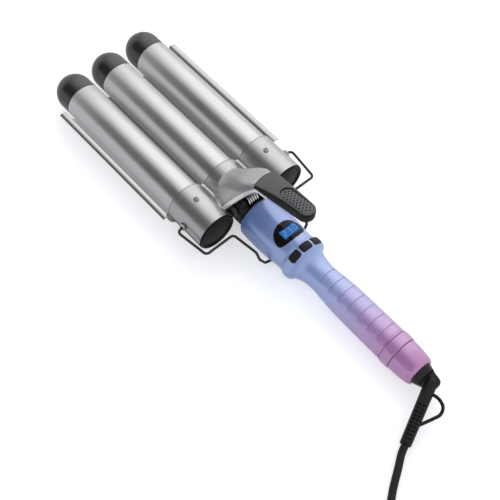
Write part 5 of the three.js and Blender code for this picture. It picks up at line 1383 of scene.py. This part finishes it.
def pad_outline(grow=0.0):
    middle = PAD_REAR + PAD_LENGTH / 2
    return rounded(PAD_LENGTH + 2 * grow, 2 * (PAD_HALF + grow), PAD_HALF + grow - 0.01, 16) + [middle, -0.3]


def over_pad(x, y, rise):
    """The pad sinks towards the hood, which leaves the crescent step at its front."""
    sunk = 0.12 + 1.5 * ease(x, PAD_REAR + 0.35 * PAD_LENGTH, PAD_REAR + PAD_LENGTH)
    return over_lever(x, y, rise - sunk)


def pit_places(rise):
    places = []
    for row, y in enumerate((-4.7, -2.5, -0.3, 1.9, 4.1)):
        for along in np.arange(PAD_REAR + 2.2 + 1.6 * (row % 2), PAD_REAR + PAD_LENGTH - 3, 3.2):
            beyond = max(PAD_REAR + PAD_HALF - along, along - PAD_REAR - PAD_LENGTH + PAD_HALF, 0)
            if math.hypot(beyond, y + 0.3) < PAD_HALF - 1.1:
                places.append(over_pad(along, y, rise))
    return places


def pit_pegs(name, rise, radius_mm, height_mm, finish):
    """A peg on every pit's place: tall ones cut the pits, and low dark ones lie at the bottom of each pit as
    painted shade.
    """
    places = pit_places(rise)
    recipe = Recipe(name, Peg_Radius=0.0006, Peg_Height=0.002)
    sizes = {"Radius": recipe.size("Peg_Radius"), "Depth": recipe.size("Peg_Height")}
    recipe.scatter(recipe.add("GeometryNodeMeshCylinder", Vertices=18, **sizes).outputs[0], finish)
    print(name, len(places))
    return recipe.cook(dots(name, metres(places)), Peg_Radius=radius_mm * MM, Peg_Height=height_mm * MM)


pad = pillow("thumb_pad", pad_outline(), over_pad, [[0, -0.35], [0.12, -0.12], [0.35, 0.0]], 1.4, 14)
carve(pad, pit_pegs("pit_cutters", 0.0, 0.78, 1.9, pad_plastic), sharp_deg=30)
# Painted shade: dark discs at the bottom of the pits stand in for the shade inside them.
pit_shade = pit_pegs("pit_floors", -0.62, 0.76, 0.12, black_matte)
carve(lever, column("pad_seat", pad_outline(0.12), 56.6, 90))
carve(plate, column("pad_seat", pad_outline(0.12), 50, 90))
dress(pad, pad_plastic, "barrel_jaw", "grey_pad", "lever_pad")
dress(pit_shade, black_matte, "barrel_jaw", "grey_pad")
# The body's near-black colour is painted shade on the lever's sides below the lighter top plate.
dress(lever, lever_dark, "barrel_jaw", "grey_lever", "lever")
dress(plate, lever_plastic, "barrel_jaw", "grey_lever")

# %% Dress the neck and the fixed parts of the lower jaw
dress(smooth_copy("neck", "neck_block"), black_matte, "handle", "black_matte", "neck")
for node, finish, slot in [
    ("hinge_pin", bright_steel, "screw"),
    ("plate_strap", rolled_steel, "screw"),
    *[(f"stand_bush_{side}", rolled_steel, "screw") for side, _ in SIDES],
    ("plug_body", cord_vinyl, "cord_black"),
    *[(f"plug_pin_{side}", brass_pin, "plug_brass") for side, _ in SIDES],
]:
    body = frame["nodes"][node]["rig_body"]
    dress(smooth_copy(node, node + "_fine"), finish, body, slot, node)
inside = [(f"heater_core_{lane}", heater_ceramic) for lane, _ in LANES]
for node, finish in [*inside, ("circuit_board", board_green)]:
    solid = frame["nodes"][node]
    solid.data.materials.clear()
    solid.data.materials.append(finish)
    solid.visible_glossy = False

# %% [markdown]
# ## Screws
#
# Every screw on the waver has the same pan head with a cross recess. The head is cut once; the node
# tree sets copies of it on points and turns each to the direction that its point carries.

# %% Drive the screws
def screw_head():
    shank, crown = [[-0.6, 0], [-0.6, 1.1], [0, 1.1]], [[0.35, 2.3], [0.75, 2.05], [1.05, 1.3], [1.1, 0]]
    head = turned("head", [*shank, [0, 2.2], *crown], sides=40)
    deep, long, wide = (0.45, 2), (-1.35, 1.35), (-0.27, 0.27)
    carve(head, box("slot", deep, long, wide))
    carve(head, box("slot", deep, wide, long))
    head.data.transform(Matrix.Translation(-Vector(metres([0, 0, 0]))))
    return head


def screw_recipe(head, finish):
    recipe = Recipe("screws", Size=1.0)
    model = recipe.add("GeometryNodeObjectInfo", Object=head, As_Instance=True)
    heading = recipe.add("GeometryNodeInputNamedAttribute", {"data_type": "FLOAT_VECTOR"}, Name="heading")
    turn = recipe.add("FunctionNodeAlignRotationToVector", {"axis": "X"}, Vector=heading.outputs[0])
    pose = {"Rotation": turn.outputs[0], "Scale": recipe.size("Size")}
    return recipe.scatter(model.outputs["Geometry"], finish, **pose)


def screws(name, places, heading):
    piece = dots(name, metres(places))
    headings = piece.data.attributes.new("heading", "FLOAT_VECTOR", "POINT")
    headings.data.foreach_set("vector", list(heading) * len(places))
    return piece


head_model = screw_head()
screw_tree = screw_recipe(head_model, dark_steel)
on_top = [[-14.2, sign * BARREL_PITCH, COVER_RADIUS + 0.15] for _, sign in SIDES]
cover_screws = screw_tree.cook(screws("cover_screws", on_top, (0, 0, 1)), Size=1.0)
dress(cover_screws, dark_steel, "barrel_jaw", "screw", "cover_screw_left", "cover_screw_right")
rear_screw_x = GRIP_FRONT - 22
below = [
    [HANDLE_FRONT - 7, 0, BELLY_Z + 1.15],
    [rear_screw_x, 0, axis_z(rear_screw_x) - GRIP_RADIUS + 3.05],
    [-30.5, 0, -19.05],
    [-38.5, 0, -19.05],
]
under_screws = screw_tree.cook(screws("under_screws", below, (0, 0, -1)), Size=1.0)
held = [f"{part}_screw_{number}" for part in ("handle", "plate") for number in (1, 2)]
dress(under_screws, dark_steel, "handle", "screw", *held)
bpy.data.objects.remove(head_model)
print("screws driven")

# %% [markdown]
# ## Swivel and strain relief
#
# The cord turns in a tapered swivel at the tail. Its strain relief is a rubber sleeve with rows of
# short slots that let it flex, and a loop to hang the waver by. The slots are one small block set on
# points by Geometry Nodes, and the whole cluster is cut from the sleeve in one go.

# %% Mould the swivel and the strain relief
RELIEF_LENGTH, RELIEF_BEND = 51.0, math.acos(math.cos(RELIEF_PITCH) * math.cos(RELIEF_YAW))
RELIEF_ROLL = -math.atan2(math.sin(RELIEF_PITCH), math.cos(RELIEF_PITCH) * math.sin(RELIEF_YAW))


def on_swivel(points):
    """Rolls points of the straight tail about the swivel's axis."""
    x, y, z = np.asarray(points, float).reshape(-1, 3).T
    c, s = math.cos(RELIEF_ROLL), math.sin(RELIEF_ROLL)
    return np.stack([x, y * c - z * s, y * s + z * c + TAIL_AXIS_Z], 1)


def on_relief(points):
    """Bends points drawn along -X from the pivot to the way the cord hangs."""
    x, y, z = np.asarray(points, float).reshape(-1, 3).T
    c, s = math.cos(-RELIEF_BEND), math.sin(-RELIEF_BEND)
    return on_swivel(np.stack([x * c - y * s + SWIVEL_PIVOT_X, x * s + y * c, z], 1))


def ring_across(x, r, sides):
    """A round section of the straight tail."""
    r = max(r, 0.001)
    return [[x, r * math.cos(a), r * math.sin(a)] for a in round_angles(sides)]


def swivel_cone():
    end, pivot = SLEEVE_END, SWIVEL_PIVOT_X
    profile = [
        [end + 3, 9.6], [end + 0.6, 10.0], [end, 9.9], [end - 3, 9.15], [pivot + 2.5, 7.35],
        [pivot - 2, 6.6], [pivot - 4.4, 5.6], [pivot - 5.4, 4.2], [pivot - 5.6, 2.5], [pivot - 5.6, 0],
    ]
    line = fair_line(np.array(profile)[1:8])
    taper = [[x, line(x)[0]] for x in np.linspace(end, pivot - 4.4, 24)]
    sections = [[end + 3, 0], *profile[:2], *taper, *profile[7:]]
    cone = skin("cord_swivel_cone", [on_swivel(ring_across(x, r, 64)) for x, r in sections])
    for sign in (1, -1):
        room = box_corners((pivot - 20, pivot + 5.6), (-20, 20), sorted((sign * 2, sign * 20)))
        carve(cone, add_piece("fork_room", on_swivel(room), BOX_FACES))
    return cone


def relief_body():
    profile = [[5.0 * math.sin(a), 5.0 * math.cos(a)] for a in np.linspace(math.pi / 2, 0, 8)]
    profile += [[x, mix(5.0, 4.5, -x / RELIEF_LENGTH)] for x in np.linspace(-2, -RELIEF_LENGTH + 1, 20)]
    profile += [[-RELIEF_LENGTH + 0.3, 4.3], [-RELIEF_LENGTH, 3.8], [-RELIEF_LENGTH, 0]]
    return skin("cord_relief", [on_relief(ring_across(x, r, 48)) for x, r in profile])


def slot_tool():
    """Slot blocks on points, drawn straight and then bent with the relief."""
    places = []
    for i in range(10):
        x = -RELIEF_LENGTH + 4 + 3 * i + 0.65
        places += [[x, side * 2.1, z] for side in (1, -1) for z in (4.6, -4.6)]
    recipe = Recipe("slot_blocks", Slot_Width=0.0013, Slot_Length=0.003, Slot_Depth=0.003)
    recipe.scatter(recipe.block("Slot_Width", "Slot_Length", "Slot_Depth"), cord_vinyl)
    slots = dots("slots", np.array(places) * MM)
    made = recipe.cook(slots, Slot_Width=0.0013, Slot_Length=0.0034, Slot_Depth=0.0034)
    bent = metres(on_relief([[c / MM for c in v.co] for v in made.data.vertices]))
    for vertex, place in zip(made.data.vertices, bent):
        vertex.co = place
    return made


relief = relief_body()
carve(relief, slot_tool())
LOOP_BENDS = [[-7.5, -3, 0], [-9, -9.5, 0], [-13.5, -14.6, 0], [-19.5, -15, 0], [-25, -11, 0], [-34, -3, 0]]
loop_path = on_relief(through(LOOP_BENDS, 8))
dress(swivel_cone(), swivel_black, "cord_swivel", "black_gloss", "swivel_cone")
dress(relief, cord_vinyl, "cord_end", "cord_black", "strain_relief")
dress(swept_wire("hanging_loop", loop_path, cord_vinyl, 1.35), cord_vinyl, "cord_end", "cord_black")
print("tail done")

# %% [markdown]
# ## Stage and light
#
# The table is a pale floor that glows where the camera looks at it, and less where a shiny surface
# does. Camera and gloss see a white surround, while all other light comes from a dim sky and one large
# soft lamp. A dark card that only gloss sees puts the dark band on the barrels.

# %% Set the stage
def flat_mesh(name, half_x, half_y, z=0.0):
    """A rectangle round the origin that faces up."""
    mesh = bpy.data.meshes.new(name)
    corners = [(-half_x, -half_y, z), (half_x, -half_y, z), (half_x, half_y, z), (-half_x, half_y, z)]
    mesh.from_pydata(corners, [], [(0, 1, 2, 3)])
    return mesh


def seen(tree, gloss=1.0):
    """1 where the camera looks, directly or through glass, and gloss where a shiny surface looks."""
    path = tree.nodes.new("ShaderNodeLightPath")
    total = path.outputs["Is Camera Ray"]
    for name, share in (("Is Glossy Ray", gloss), ("Is Transmission Ray", 1.0)):
        step = tree.nodes.new("ShaderNodeMath")
        step.operation = "MULTIPLY_ADD"
        tree.links.new(path.outputs[name], step.inputs[0])
        step.inputs[1].default_value = share
        tree.links.new(total, step.inputs[2])
        total = step.outputs[0]
    return total


table_paint = Paint("table_paint", Roughness=0.7, Emission_Strength=1.0)
table_grain = table_paint.noise(3, 2)
where_seen = Wire(table_paint, seen(table_paint.tree, 0.4))
table_paint.feed(
    Base_Color=table_paint.blend(table_grain, grey(0.8), grey(0.82)),
    Emission_Color=table_paint.blend(where_seen, grey(0.0), grey(0.52)),
)
floor = linked("table", flat_mesh("table", 4, 4, -0.0002))
floor.data.materials.append(table_paint.material)

world = bpy.data.worlds.new("studio")
scene.world = world
world.use_nodes = True
tree = world.node_tree
sky = tree.nodes["Background"]
white = tree.nodes.new("ShaderNodeBackground")
either = tree.nodes.new("ShaderNodeMixShader")
sky.inputs["Color"].default_value = (0.9, 0.93, 1, 1)
sky.inputs["Strength"].default_value = 0.7
white.inputs["Color"].default_value = (1, 1, 1, 1)
tree.links.new(seen(tree), either.inputs[0])
tree.links.new(sky.outputs[0], either.inputs[1])
tree.links.new(white.outputs[0], either.inputs[2])
tree.links.new(either.outputs[0], tree.nodes["World Output"].inputs[0])


def beside(piece, turn_deg, distance, x):
    """Hangs a lamp or card over the object, turned about the barrels' direction to face it."""
    turn = math.radians(turn_deg)
    piece.location = (x, distance * math.cos(turn), distance * math.sin(turn))
    piece.rotation_euler = (turn - math.pi / 2, 0, 0)
    scene.collection.objects.link(piece)
    return piece


def lamp(name, turn_deg, distance, x, size, level):
    """A soft lamp whose face is as bright as level, where 1 is the white of the background."""
    data = bpy.data.lights.new(name, "AREA")
    data.shape, data.size, data.size_y = "RECTANGLE", size[0], size[1]
    data.energy = level * math.pi * size[0] * size[1]
    return beside(bpy.data.objects.new(name, data), turn_deg, distance, x)


def dark_card(name, turn_deg, distance, x, size, finish):
    """A card that only gloss sees. It puts the dark band on the left of every tube."""
    mesh = flat_mesh(name, size[0] / 2, size[1] / 2)
    mesh.materials.append(finish)
    card = beside(bpy.data.objects.new(name, mesh), turn_deg, distance, x)
    for kind in ("camera", "diffuse", "shadow", "transmission", "volume_scatter"):
        setattr(card, f"visible_{kind}", False)
    return card


dark_card("dark_card", 50, 1.1, 0.55, (2.0, 1.25), housing_grey)
lamp("key", 136, 1.1, 0.6, (1.4, 1.5), 0.9)
scene.view_settings.view_transform = "Standard"
